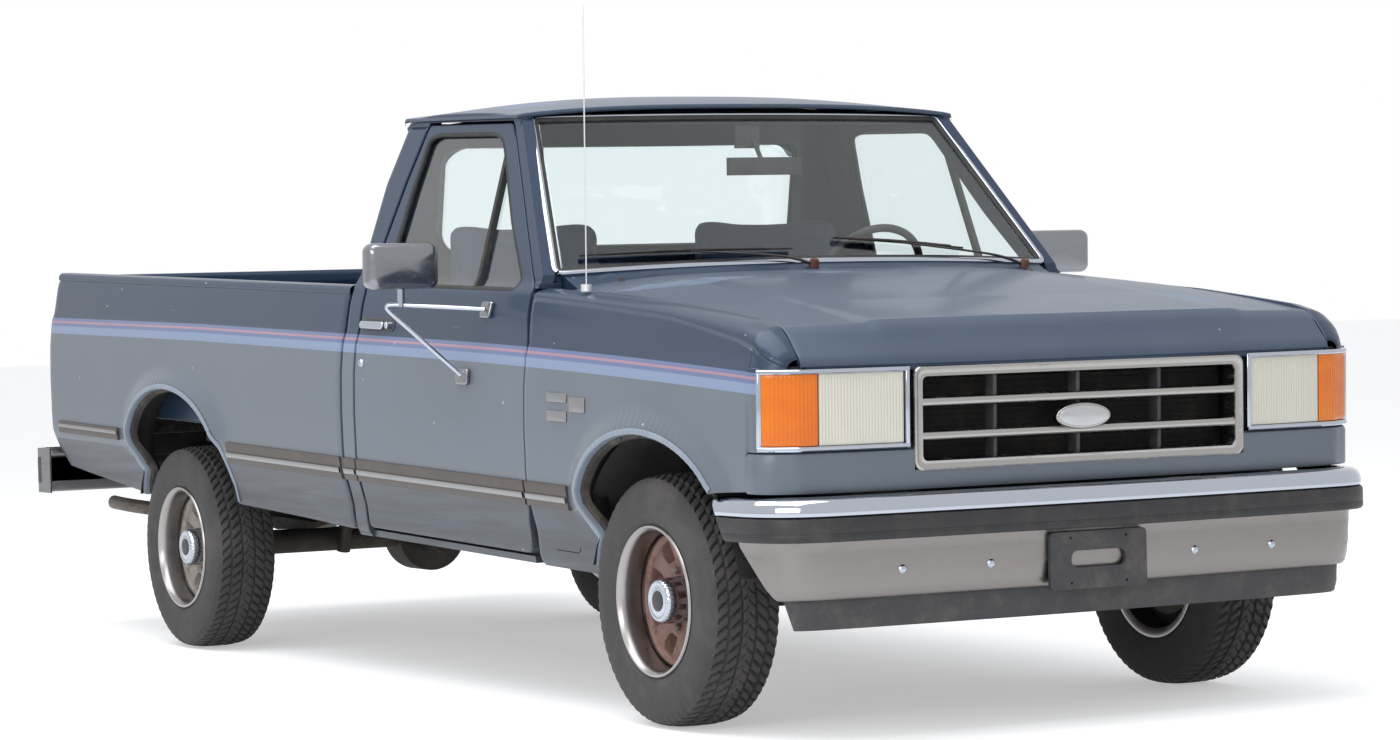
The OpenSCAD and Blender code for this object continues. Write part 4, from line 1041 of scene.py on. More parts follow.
flat = between(closed(np.zeros_like(rear_loop) + np.array([0, 1417.0])), closed(rear_loop), 12)
piece("rear_window_pane", rear_at(flat[..., 0], flat[..., 1], -9.0), glass,
      hides="rear_window", wall=0.004)
loop = closed(rear_loop)
q = closed(np.array([(10, -14), (10, 3), (4, 6), (-8, 6), (-14, 2), (-14, -2), (-6, -14)]))
t = tangents(loop)
outward = np.stack([t[:, 1], -t[:, 0]], -1)
outward *= np.sign((outward * (loop - loop.mean(0))).sum(1))[:, None]
y = loop[:, None, 0] + q[None, :, 0] * outward[:, None, 0]
w = loop[:, None, 1] + q[None, :, 0] * outward[:, None, 1]
piece("rear_window_seal", rear_at(y, w, q[None, :, 1] + 0 * y), seal_rubber)

wiper_paint = dull("wiper_black", (30, 30, 32), (44, 42, 42), 0.55)
wiper_rust = dull("wiper_rust", (62, 30, 22), (96, 46, 32), 0.7)
blades, arms, caps = [], [], []
for pivot, a, b in ((0.485, (0.08, 0.46), (0.10, 0.045)), (0.94, (0.08, 0.83), (0.147, 0.56))):
    k = np.linspace(0, 1, 30)
    s1, t1 = a[0] + (b[0] - a[0]) * k, a[1] + (b[1] - a[1]) * k
    edge = screen(s1, t1, 8.0)
    top = screen(s1, t1, 24.0)
    blades.append(np.stack([edge, edge + (top - edge) * 0.3 + [0, 0, 0.002], top + [0, 0, 0.003],
                            top - [0, 0, 0.003], edge + (top - edge) * 0.3 - [0, 0, 0.002], edge]))
    mid = screen(np.array([(a[0] + b[0]) / 2]), np.array([(a[1] + b[1]) / 2]), 28.0)[0]
    foot = screen(np.array([-0.03]), np.array([pivot]), 34.0)[0]
    bend = foot * 0.62 + mid * 0.38 + np.array([0.0, 0, 0.014])
    arms.append(tube(spline([foot, foot * 0.85 + mid * 0.15 + [0, 0, 0.012], bend, mid], 30),
                     np.linspace(0.0085, 0.0045, 30), 10, 0.6))
    arms.append(tube(spline([edge[3] + [0.016, 0, 0.002], mid + [0, 0, 0.004], edge[-4] + [0.016, 0, 0.002]],
                            20), 0.004, 8))
    caps.append(turned([(0, 0.020), (0.011, 0.018), (0.015, 0.010), (0.016, -0.02)], foot, (0.3, 0, 1), 20))
piece("wiper_blades", blades, seal_rubber, hides="wipers")
piece("wiper_arms", arms, wiper_paint)
piece("wiper_caps", caps, wiper_rust)
print(len(made), "pieces")

# %% [markdown]
# The front end follows one curve in plan: nearly flat across the grille, then round to the fenders. The
# painted panel, the lamps and their bezels are carried along parts of that curve.

# %% The nose in plan
def nose(y0=None, y1=None, u_end=None, n=60, inset=0.0):
    """Part of the nose curve between two half-widths (or up to a u), moved in by inset, with its outward
    normal."""
    i0 = 0 if y0 is None else int(np.searchsorted(nose_line[:, 1], y0))
    if u_end is None:
        i1 = int(np.searchsorted(nose_line[:, 1], y1))
    else:
        i1 = int(np.argmin(np.abs(nose_line[:, 0] - u_end) + 1e3 * (nose_line[:, 1] < 850)))
    part = along(nose_line[i0:i1 + 1], n)
    t = tangents(part)
    normal = np.stack([t[:, 1], -t[:, 0]], -1)
    return part - normal * inset, normal

def nose_sweep(section, **where):
    """A closed section of (outwards, w) carried along part of the nose, closed at both ends."""
    part, normal = nose(**where)
    q = closed(np.asarray(section, float))
    u = part[:, None, 0] + q[None, :, 0] * normal[:, None, 0]
    y = part[:, None, 1] + q[None, :, 0] * normal[:, None, 1]
    ring = level(u, y, q[None, :, 1] + 0 * u)
    return capped(ring)

PANEL = [(-30, 656), (-2, 656), (0, 662), (0, 750), (-3, 759), (-12, 764), (-34, 764)]
low = [(a, min(b, 706)) for a, b in PANEL]
for name, s in SIDES:
    grids = [nose_sweep(PANEL, y0=530, u_end=557, n=90), nose_sweep(low, y0=0, y1=532, n=30)]
    piece(f"front_panel_{name}", on_side(grids, s), paint,
          hides="front_panel" if s > 0 else ())

# %% [markdown]
# The grille is chromed plastic: a bevelled frame, two rounded bars across, three uprights and a plain
# oval in the middle. It is a little tarnished. Behind it stands the dark front of the cooling pack.

# %% Grille
tarnish = bright("tarnished_chrome", (0.36, 0.35, 0.34), 0.13, 1.6)

def bar_along_y(y0, y1, w_mid, half, front, back, n=40):
    """A bar across the truck with a half-round front: section is a rounded nose from back to front."""
    q = np.linspace(-math.pi / 2, math.pi / 2, 9)
    r = min(half, (front - back) * 0.5)
    sec = np.vstack([[(back, w_mid - half)],
                     np.stack([front - r + r * np.cos(q), w_mid + half * np.sin(q)], -1),
                     [(back, w_mid + half)]])
    y = np.linspace(y0, y1, n)
    ring = level(closed(sec)[None, :, 0] + 0 * y[:, None], y[:, None], closed(sec)[None, :, 1])
    return capped(ring)

def bar_up(y_mid, w0, w1, half, front, back):
    """An upright with a half-round front."""
    q = np.linspace(-math.pi / 2, math.pi / 2, 7)
    sec = closed(np.vstack([[(back, y_mid - half)],
                            np.stack([front - half + half * np.cos(q), y_mid + half * np.sin(q)], -1),
                            [(back, y_mid + half)]]))
    w = np.linspace(w0, w1, 8)
    ring = level(sec[None, :, 0] + 0 * w[:, None], sec[None, :, 1], w[:, None])
    return capped(ring)

def picture_frame(low, high, section, place, r=6.0, n=6):
    """A rectangular frame: section points are (inset from the outline, depth), carried round a rounded
    rectangle."""
    rings = []
    for inset, depth in section:
        loop = closed(rounded_rect((low[0] + inset, low[1] + inset), (high[0] - inset, high[1] - inset),
                                   max(r - inset * 0.4, 1.5), n))
        rings.append(place(loop[:, 0], loop[:, 1], np.full(len(loop), depth)))
    return np.stack(rings)

FRAME = [(0, 640), (0, 686), (3, 692), (8, 694), (12, 691), (17, 688), (24, 688), (28, 690), (31, 684),
         (32, 640), (0, 640)]
frame_ring = picture_frame((-534, 700), (534, 978), FRAME, face_on, 26.0)
bars = [bar_along_y(-506, 506, 792.5, 12.5, 690, 640), bar_along_y(-506, 506, 881.5, 12.5, 690, 640)]
ups = [bar_up(y, 724, 956, 6.0, 672, 630) for y in (-266, 0, 266)]
piece("grille_frame", [frame_ring, *bars], tarnish, hides="grille", crease=40)
piece("grille_uprights", ups, black_plastic)
t = np.linspace(0, 2 * math.pi, 49)[:-1]
oval = np.stack([88 * np.cos(t), 828 + 35 * np.sin(t)], -1)
piece("plain_oval", block(oval, 672, 697, 5.0, face_on), tarnish)
inner = np.stack([80 * np.cos(t), 828 + 28 * np.sin(t)], -1)
piece("plain_oval_face", block(inner, 690, 698.5, 2.0, face_on), alloy)
mesh_back = dull("cooling_pack", (14, 14, 15), (24, 23, 22), 0.85, 160.0, 0.0008, 0.15)
fins = [box_at((600, -500, w), (604, 500, w + 3), 0.8) for w in np.arange(726, 950, 14.0)]
piece("grille_back", [box_at((585, -520, 710), (597, 520, 968), 3.0), *fins], mesh_back)

# %% [markdown]
# Each headlamp is a moulded lens with upright flutes over a bright bowl, in a chrome bezel. The corner
# lamp beside it is amber and wraps round to the fender.

# %% Headlamps and corner lamps
lamp = Finish("headlamp_lens")
haze = lamp.noise(9.0, 4.0, 0.6)
lamp_lens = lamp.done(Base_Color=lamp.mix(haze, srgb(240, 236, 222), srgb(226, 222, 204)),
                      Roughness=0.12 + haze * 0.1, Transmission_Weight=0.25, IOR=1.35, Coat_Weight=1.0,
                      Coat_Roughness=0.04)
amber = Finish("amber_lens")
glow = amber.noise(12.0, 3.0, 0.5)
amber_lens = amber.done(Base_Color=amber.mix(glow, srgb(214, 92, 0), srgb(236, 132, 0)), Roughness=0.16,
                        Specular_IOR_Level=0.3, Transmission_Weight=0.05, Coat_Weight=0.4,
                        Coat_Roughness=0.05)
bowl = bright("lamp_bowl", (0.78, 0.78, 0.76), 0.16, 0.3)

def lens(w0, w1, flute, depth, inset=0.0, **where):
    """A lens along part of the nose: flutes are raised cosines along its length, and its border folds
    back."""
    part, normal = nose(inset=inset, **where)
    run = np.concatenate([[0], np.cumsum(np.linalg.norm(np.diff(part, axis=0), axis=1))])
    w = np.concatenate([[w0, w0, w0 + 1.5], np.linspace(w0 + 5, w1 - 5, 24), [w1 - 1.5, w1, w1]])
    fold = np.concatenate([[-16, -4, -1], np.zeros(24), [-1, -4, -16]])
    end = np.minimum(run, run[-1] - run)
    roll = np.where(end < 4, -(4 - end) ** 2 / 4, 0.0)
    wave = depth * (0.5 + 0.5 * np.cos(2 * np.pi * run / flute)) * ramp((end - 4) / 4)
    mask = ramp((w - w0 - 6) / 4) * ramp((w1 - 6 - w) / 4)
    out = fold[:, None] + roll[None, :] + wave[None, :] * mask[:, None]
    front = level(part[None, :, 0] + normal[None, :, 0] * out, part[None, :, 1] + normal[None, :, 1] * out,
                  w[:, None])
    rear_out = np.full_like(out, -16.0)
    rear = level(part[None, :, 0] + normal[None, :, 0] * rear_out,
                 part[None, :, 1] + normal[None, :, 1] * rear_out, w[:, None])
    return [front, rear]

def post(y, half):
    """An upright of the bezel at a place on the nose."""
    u0 = float(np.interp(y, nose_line[:, 1], nose_line[:, 0]))
    return box_at((u0 - 26, y - half, 774), (u0 + 3.5, y + half, 977), 3.0)

BEZEL = [(-26, 0), (2, 0), (5, 3), (5, 9), (3, 12), (-6, 14), (-26, 14)]
for name, s in SIDES:
    head = lens(779, 967, 9.0, 1.4, 3.0, y0=559, y1=808, n=240)
    piece(f"headlamp_lens_{name}", on_side(head, s), lamp_lens,
          hides="headlamps" if s > 0 else ())
    part, normal = nose(y0=556, y1=804, n=30, inset=26.0)
    cupped = 1 - ((part[None, :, 1] - 680) / 124) ** 2
    dish_u = part[None, :, 0] - 34 * cupped * (1 - np.linspace(-1, 1, 20)[:, None] ** 2)
    dish = level(dish_u, part[None, :, 1] + 0 * dish_u, np.linspace(775, 976, 20)[:, None] + 0 * dish_u)
    piece(f"headlamp_bowl_{name}", on_side([dish], s), bowl, wall=0.001,
          centre=level(300, s * 680, 870))
    rails = [nose_sweep([(a, b + w) for a, b in BEZEL], y0=546, y1=812, n=50) for w in (766.0, 966.0)]
    piece(f"headlamp_bezel_{name}", on_side([*rails, post(552, 6.0)], s), chrome)
    corner = lens(779, 967, 11.0, 1.2, 2.0, y0=811, u_end=606, n=170)
    piece(f"corner_lamp_lens_{name}", on_side(corner, s), amber_lens,
          hides="corner_lamps" if s > 0 else ())
    thin = [(-20, 0), (2, 0), (4.5, 3), (4.5, 9), (2, 12), (-6, 14), (-20, 14)]
    rails = [nose_sweep([(a, b + w) for a, b in thin], y0=812, u_end=600, n=50) for w in (766.0, 966.0)]
    edge_u, edge_y = nose(y0=820, u_end=603, n=10)[0][-1]
    shut = box_at((edge_u - 8, edge_y - 22, 774), (edge_u + 4, edge_y + 3.0, 978), 2.5)
    piece(f"corner_bezel_{name}", on_side([*rails, shut], s), chrome)
    # The lamp backing is near-black painted shade in the cavity behind the lamps.
    filler = [nose_sweep([(-34, 760), (-18, 760), (-18, 985), (-34, 985)], y0=531, u_end=600, n=40)]
    piece(f"lamp_backing_{name}", on_side(filler, s), painted_shade_black)
print(len(made), "pieces")

# %% [markdown]
# The front bumper is a deep chromed pressing with a thick rubber strip along its middle and a plastic air
# dam under it. Its section is carried along the plan curve. The strip has a scuffed face and the chrome
# below it is speckled.

# %% Bumpers
BUMPER_PLAN = np.array([(416, 992), (520, 993), (620, 988), (700, 956), (745, 905), (770, 835), (782, 680),
                        (790, 500), (800, 250), (805, 0)], float)
half_line = soften(along(BUMPER_PLAN, 200), 8, closed=False)
plan = np.vstack([half_line, half_line[::-1][1:] * [1, -1]])
t = tangents(plan)
plan_out = np.stack([-t[:, 1], t[:, 0]], -1)
plan_out *= np.sign((plan_out * (plan - [300, 0])).sum(1))[:, None]

plan_run = np.concatenate([[0], np.cumsum(np.linalg.norm(np.diff(plan, axis=0), axis=1))])

def bumper_sweep(section, n=300, more=0.0):
    """A closed section of (inset, height above the ground) carried along the bumper's plan curve. The
    ends are cut on a slant:
    lower points start further round."""
    q = closed(np.asarray(section, float))
    first = np.interp(q[:, 1], [300, 380, 531, 650], [300, 246, 84, 0]) + more
    run = first + np.linspace(0, 1, n)[:, None] * (plan_run[-1] - 2 * first)
    at = [np.interp(run, plan_run, plan[:, k]) for k in (0, 1)]
    normal = [np.interp(run, plan_run, plan_out[:, k]) for k in (0, 1)]
    ring = upright(at[0] - q[:, 0] * normal[0], at[1] - q[:, 0] * normal[1], q[:, 1] + 0 * run)
    return capped(ring)

UPPER = [(62, 640), (60, 648), (42, 648), (26, 645), (14, 637), (7, 625), (4, 610), (4, 600), (7, 597),
         (32, 596), (54, 600)]
LOWER = [(34, 595), (34, 536), (38, 531), (40, 526), (41, 500), (43, 450), (48, 410), (54, 388), (60, 380),
         (66, 378), (72, 380), (68, 388), (60, 420), (54, 500), (54, 560), (54, 595)]
speckled = bright("speckled_chrome", (0.22, 0.205, 0.20), 0.28, 1.0)
piece("front_bumper_top", bumper_sweep(UPPER), chrome, hides="front_bumper", crease=50)
piece("front_bumper_face", bumper_sweep(LOWER), speckled, crease=50)
STRIP = [(31, 532), (6, 532), (2, 535), (0, 541), (0, 552), (1.2, 554), (0, 556), (0, 586), (2, 592),
         (7, 595), (31, 595)]
strip_rubber = dull("bumper_strip_rubber", (24, 24, 28), (34, 34, 38), 0.5, 500.0, 0.00015, 0.15)
piece("bumper_strip_face", bumper_sweep(STRIP, more=3.0), strip_rubber,
      hides="bumper_strip", crease=40)
DAM = [(76, 378), (78, 330), (84, 304), (88, 300), (94, 302), (92, 320), (88, 378)]
piece("air_dam_face", bumper_sweep(DAM, more=10.0), black_plastic, hides="air_dam")
bolts = []
for y in (-600, -330, 330, 600):
    i = int(np.argmin(np.abs(plan[:, 1] - y)))
    at = upright(plan[i, 0] - 43 * plan_out[i, 0], plan[i, 1] - 43 * plan_out[i, 1], 450)
    bolts.append(turned([(0, 0.006), (0.008, 0.005), (0.012, 0.001), (0.012, -0.004)], at, (*plan_out[i], 0),
                        20))
piece("bumper_bolts", bolts, chrome)

step_metal = bright("rear_bumper_metal", (0.20, 0.20, 0.21), 0.30, 1.8)
piece("rear_bumper_top", box_at((-2732.5, -958, 632), (-2610, 958, 660), 10.0, from_middle), step_metal)
piece("rear_bumper_face", [box_at((-2732.0, -958, 498), (-2700, -250, 640), 8.0, from_middle),
                           box_at((-2732.0, 250, 498), (-2700, 958, 640), 8.0, from_middle),
                           box_at((-2726.0, -252, 498), (-2712, 252, 640), 3.0, from_middle)], step_metal)
tread = [box_at((-2724, y, 659), (-2700, y + 4, 661.5), 1.0, from_middle)
         for y in np.arange(-930, -560, 16.0)]
piece("rear_bumper_tread", tread + other_side(tread), black_plastic)

# %% [markdown]
# The mirrors are square steel heads on a bent bright bar with two feet on the door.

# %% Mirrors
mirror_grey = bright("weathered_mirror_steel", (0.24, 0.245, 0.265), 0.14, 0.9, False)
mirror_face = bright("mirror_glass", (0.86, 0.88, 0.90), 0.02, 0.2, False)
for name, s in SIDES:
    body = f"door_{name}"
    head = block(rounded_rect((1040, 1159), (1264, 1294), 26, 8), -1150.0, -1080.0, 20.0, face_on)
    pane = block(rounded_rect((1050, 1169), (1254, 1284), 18, 8), -1153.0, -1140.0, 2.0, face_on)
    arm = tube(level(*soften(along([(-990, 936, 1098), (-1140, 1206, 1118), (-1085, 975, 905)], 60), 6,
                             False).T), 0.0065, 14)
    lug = tube(level([-1112, -1112], [1152, 1152], [1108, 1170]), 0.011, 14)
    feet = [block(rounded_rect((-1018, 1074), (-956, 1122), 9, 6), -2.0, 14.0, 5.0, on_skin),
            block(rounded_rect((-1122, 876), (-1048, 924), 9, 6), -2.0, 14.0, 5.0, on_skin)]
    piece(f"mirror_head_{name}", on_side([head], s), mirror_grey, body, f"mirror_{name}")
    piece(f"mirror_pane_{name}", on_side([pane], s), mirror_face, body)
    piece(f"mirror_arm_{name}", on_side([arm, lug], s), chrome, body)
    piece(f"mirror_feet_{name}", on_side(feet, s), mirror_grey, body)
print(len(made), "pieces")

# %% [markdown]
# The tyres are all-season radials: a grooved tread in staggered blocks, a bulging sidewall and a rim
# bead. The tread is cut into the mesh itself: a ring with many steps round, whose radius drops in the
# grooves. The wheels are plain steel discs with eight windows, a chromed cap and a deep barrel.

# %% Tyres
rubber = Finish("worn_tyre_rubber")
scuff = rubber.noise(16.0, 5.0, 0.7)
sand = rubber.step(rubber.noise(7.0, 5.0, 0.65, seed=(2, 4, 1)), 0.42, 0.72)
tone = rubber.mix(scuff, srgb(42, 42, 44), srgb(68, 66, 66))
tone = rubber.mix(sand * 0.3, tone, srgb(112, 106, 100))
rubber_finish = rubber.done(Base_Color=tone, Roughness=0.78 + sand * 0.12,
                            Normal=rubber.bump(rubber.noise(320.0, 3.0), 0.0004, 0.6))

TYRE = np.array([(204, 98), (214, 104), (224, 106), (235, 107), (252, 110), (275, 111), (296, 108.5),
                 (315, 105), (326, 100), (334, 94)], float)
spokes = 520
angle = np.linspace(0, 2 * math.pi, spokes + 1)
tread_y = np.unique(np.round(np.concatenate([np.linspace(-90, 90, 61), [-62, -58, -24, -20, 20, 24, 58, 62]]),
                             3))
pitch = 2 * math.pi / 65

def tread_radius(a, y):
    """Tread: the tyre's radius less a slope to the shoulders, less 9 mm in four grooves and in slanted
    slots of each rib."""
    crown = TYRE_R - 9 * (np.abs(y) / 90) ** 3
    groove = sum(ramp(1 - (np.abs(y - g) - 2.6) / 1.6) for g in (-60, -22, 22, 60))
    rib = np.floor((np.abs(y) + 18) / 40)
    phase = (a + 0.0025 * y * np.sign(y) + rib * 0.4 * pitch + (y < 0) * 0.5 * pitch) / pitch % 1.0
    slot = ramp(1 - (np.abs(phase - 0.5) - 0.12) / 0.05) * (np.abs(y) > 24)
    sipe = ramp(1 - (np.abs(phase - 0.5) - 0.07) / 0.05) * (np.abs(y) <= 24) * 0.6
    return crown - 9 * ramp(np.maximum(groove, np.maximum(slot, sipe)))

def tyre(x, y0):
    """A whole tyre as one closed grid: outer bead, sidewall, tread, sidewall and bead, then back round
    inside."""
    wall = spline(TYRE, 34)
    a = angle[None, :]
    lugs = 2.6 * ramp(np.abs(((a / pitch) % 1.0) - 0.5) * 6 - 1.2)
    r_out = np.broadcast_to(wall[:, :1], (len(wall), spokes + 1)).copy()
    y_out = np.broadcast_to(wall[:, 1:], r_out.shape).copy()
    near = ramp((wall[:, :1] - 312) / 12)
    y_out -= near * lugs
    ring_ridge = (1.2 * np.exp(-((wall[:, :1] - 232) / 3.0) ** 2)
                  + 0.8 * np.exp(-((wall[:, :1] - 296) / 2.0) ** 2))
    y_out += ring_ridge
    r_tread = tread_radius(a, tread_y[::-1, None])
    y_tread = np.broadcast_to(tread_y[::-1, None], r_tread.shape)
    r = np.concatenate([r_out, r_tread, r_out[::-1]])
    y = np.concatenate([y_out, y_tread, -y_out[::-1]])
    back = np.array([(198, -97), (196, -60), (196, 60), (198, 97)], float)
    r = np.concatenate([r, np.broadcast_to(back[:, :1], (4, spokes + 1)), r[:1]])
    y = np.concatenate([y, np.broadcast_to(back[:, 1:], (4, spokes + 1)), y[:1]])
    return upright(x + r * np.cos(a), y0 + y, TYRE_R + r * np.sin(a))

AXLES = {"front": (0.0, 827.0), "rear": (REAR, 818.0)}
for end, (x, track) in AXLES.items():
    for name, s in SIDES:
        body = f"wheel_{end}_{name}"
        piece(f"tyre_{end}_{name}_rubber", tyre(x, s * track), rubber_finish, body,
              f"tyre_{end}_{name}", centre=upright(x, s * track, TYRE_R), crease=40)

# %% Wheels
def rusty(name, low, high, rust=0.4):
    """Painted steel that has gone rusty in blotches and along its edges."""
    f = Finish(name)
    cloud = f.noise(9.0, 5.0, 0.65)
    spots = f.step(f.noise(38.0, 5.0, 0.7, seed=(5, 1, 3)), 0.50, 0.66)
    colour = f.mix(cloud, srgb(*low), srgb(*high))
    colour = f.mix(spots * rust, colour, srgb(96, 52, 34))
    return f.done(Base_Color=colour, Metallic=0.15, Roughness=0.5 + spots * 0.3,
                  Normal=f.bump(spots + cloud * 0.3, 0.0004, 0.5))

disc_front = rusty("front_disc_steel", (112, 84, 76), (142, 112, 102), 0.4)
disc_rear = rusty("rear_disc_paint", (140, 134, 126), (166, 160, 152), 0.45)
barrel = bright("barrel_steel", (0.34, 0.32, 0.315), 0.26, 0.5, False)
nut_steel = rusty("lug_nut_steel", (96, 88, 84), (130, 120, 112), 0.7)

def disc(x, y0, s):
    """The wheel disc: radius against depth, with eight windows sunk right through by a closed inner
    wall."""
    prof = spline([(56, 6), (70, 5), (84, 6), (100, 12), (116, 20), (134, 25), (152, 27), (166, 26),
                   (176, 30), (183, 36)], 80)
    a = np.linspace(0, 2 * math.pi, 289)[None, :]
    r = prof[:, :1]
    y = prof[:, 1:] + 0 * a
    half = np.abs(((a / (2 * math.pi / 8)) % 1.0) - 0.5) * (2 * math.pi / 8) * r
    hole = np.sqrt(np.clip((half - 13) / 12, 0, None) ** 2 + ((r - 138) / 27) ** 2)
    y = y - 36 * ramp((1.05 - hole) / 0.16)
    y = y + 3.0 * np.exp(-((hole - 1.25) / 0.16) ** 2)
    return upright(x + r * np.cos(a), y0 + s * y, TYRE_R + r * np.sin(a))

for end, (x, track) in AXLES.items():
    for name, s in SIDES:
        body, y0 = f"wheel_{end}_{name}", s * track
        at, out = upright(x, y0, TYRE_R), (0, s, 0)
        rim = np.array([(205, 98), (208, 104), (206, 108), (200, 108), (196, 103), (192, 98), (189, 84),
                        (187, 60), (186, 40), (185, 20), (184, 0), (182, -40), (186, -90), (204, -96),
                        (206, -104), (198, -104), (180, -96), (176, -40), (179, 0), (180, 40)]) / 1000
        piece(f"wheel_rim_{end}_{name}", turned(rim, at, out, 96), barrel, body,
              f"wheel_{end}_{name}", crease=40)
        piece(f"wheel_disc_{end}_{name}", disc(x, y0, s), disc_front if end == "front" else disc_rear, body,
              crease=50)
        # The brake is near-black: painted shade seen through the wheel's windows.
        dark = turned(np.array([(0, -30), (150, -30), (178, -26)]) / 1000, at, out, 64)
        piece(f"brake_{end}_{name}", dark, painted_shade_black, body)
        nuts = []
        for k in range(8):
            q = k * math.pi / 4 + math.pi / 8
            p = upright(x + 84 * math.cos(q), y0 + s * 6, TYRE_R + 84 * math.sin(q))
            nuts.append(turned(np.array([(0, 16), (5, 16), (9.5, 12), (10.5, 0), (10.5, -6)]) / 1000, p, out,
                               7))
        piece(f"lug_nuts_{end}_{name}", nuts, nut_steel, body, crease=20)
        a = np.linspace(0, 2 * math.pi, 241)
        cap = np.array([(66, 4), (64, 30), (63, 62), (61, 80), (58, 88), (54, 91.5), (48, 92), (44, 90),
                        (42, 90), (30, 91), (0, 91.5)])
        grid = []
        for r, y in cap:
            rr = r - (1.4 * (0.5 + 0.5 * np.cos(a * 30)) if 52 < r < 63 and y < 90 else 0)
            grid.append(upright(x + rr * np.cos(a), y0 + s * y + 0 * a, TYRE_R + rr * np.sin(a)))
        piece(f"hub_cap_{end}_{name}", np.stack(grid), chrome, body, crease=45)
        medal = turned(np.array([(0, 95), (24, 95), (28, 93), (29, 90)]) / 1000, at, out, 40)
        piece(f"cap_medallion_{end}_{name}", medal, black_plastic, body)
print(len(made), "pieces")

# %% [markdown]
# Inside the cab are a cloth bench with two backrests, a padded dashboard and a two-spoke wheel. Each
# cushion starts as a closed shape with round edges. A short cloth run with pressure swells it a little,
# and the result is kept; seams and channels are left out.

# %% Bench
cloth = Finish("bench_cloth")
weave = cloth.wire(cloth.node("ShaderNodeTexWave", {"bands_direction": "Y"}, Vector=cloth.position(),
                              Scale=70.0, Distortion=1.0), "Fac")
tuft = cloth.noise(60.0, 4.0, 0.7)
bench_cloth = cloth.done(Base_Color=cloth.mix(tuft * 0.6 + weave * 0.4, srgb(34, 48, 74), srgb(60, 78, 108)),
                         Roughness=0.95, Normal=cloth.bump(weave + tuft, 0.0008, 0.6))

def slab(low, high, corners, r=34.0):
    """A seat part across the cab: a side outline of (u, w) corners with round edges, closed at both ends
    by shrinking."""
    loop = soften(along(closed(np.asarray(corners, float)), 161)[:-1], 7)
    mid = (loop.max(0) + loop.min(0)) / 2
    half = (loop.max(0) - loop.min(0)) / 2
    q = np.linspace(0, math.pi / 2, 7)
    ys = np.concatenate([[low], low + r * (1 - np.cos(q[1:])), np.linspace(low + r, high - r, 26)[1:-1],
                         high - r * (1 - np.cos(q[::-1][:-1])), [high]])
    inset = np.concatenate([[half.min()], r * (1 - np.sin(q[1:])), np.zeros(24),
                            r * (1 - np.sin(q[::-1][:-1])), [half.min()]])
    scale = 1 - np.minimum(inset[:, None] / half[None], 1)
    ring = closed(loop)
    flat = mid + (ring[None] - mid) * scale[:, None, :]
    return level(flat[..., 0], ys[:, None] + 0 * flat[..., 0], flat[..., 1])

def inflate(obj, pressure=4.0, cap=0.014):
    """Turns a closed mesh into a cushion: even small faces, a cloth run with pressure, and moves no
    longer than cap."""
    even = obj.modifiers.new("even", "REMESH")
    even.mode, even.voxel_size, even.use_smooth_shade = "VOXEL", 0.016, True
    dg = bpy.context.evaluated_depsgraph_get()
    mesh = bpy.data.meshes.new_from_object(obj.evaluated_get(dg))
    obj.modifiers.clear()
    mesh.materials.clear()
    mesh.materials.append(obj.data.materials[0])
    obj.data = mesh
    start = np.zeros(len(mesh.vertices) * 3)
    mesh.vertices.foreach_get("co", start)
    run = obj.modifiers.new("cloth", "CLOTH")
    run.settings.use_pressure, run.settings.uniform_pressure_force = True, pressure
    run.settings.effector_weights.gravity = 0.0
    run.settings.mass = 0.3
    run.settings.tension_stiffness = run.settings.compression_stiffness = 18.0
    run.settings.bending_stiffness = 1.0
    run.point_cache.frame_start, run.point_cache.frame_end = 1, 20
    for frame_number in range(1, 21):
        bpy.context.scene.frame_set(frame_number)
    dg = bpy.context.evaluated_depsgraph_get()
    done = bpy.data.meshes.new_from_object(obj.evaluated_get(dg))
    after = np.zeros(len(done.vertices) * 3)
    done.vertices.foreach_get("co", after)
    obj.modifiers.clear()
    bpy.context.scene.frame_set(1)
    if len(after) == len(start):
        move = (after - start).reshape(-1, 3)
        size = np.linalg.norm(move, axis=1, keepdims=True)
        move *= np.minimum(1, cap / np.maximum(size, 1e-9))
        mesh.vertices.foreach_set("co", (start.reshape(-1, 3) + move).ravel())
    mesh.polygons.foreach_set("use_smooth", np.ones(len(mesh.polygons), bool))
    sub = obj.modifiers.new("smooth", "SUBSURF")
    sub.levels = sub.render_levels = 1

CUSHION = [(-1124, 690), (-1112, 838), (-1180, 850), (-1590, 806), (-1632, 690)]
BACK = [(-1570, 800), (-1622, 1126), (-1722, 1126), (-1722, 724), (-1640, 724)]
TOP = [(-1598, 1008), (-1636, 1322), (-1690, 1334), (-1762, 1330), (-1768, 1008)]
seats = []
for name, low, high, outline in (("bench_cushion_left", 4, 696, CUSHION),
                                 ("bench_cushion_right", -696, -4, CUSHION),
                                 ("bench_back_left", 4, 696, BACK), ("bench_back_right", -696, -4, BACK),
                                 ("backrest_driver", 172, 672, TOP), ("backrest_rider", -694, -206, TOP)):
    obj = piece(name, slab(low, high, outline), bench_cloth, hides="bench_seat",
                centre=level(-1400, (low + high) / 2, 900))
    inflate(obj)
    seats.append(obj)
print(len(seats), "cushions")

# %% [markdown]
# The dashboard has a padded top and an instrument panel with plain dials in front of the driver. The
# steering wheel is a thick rim on two flat spokes with a square pad.

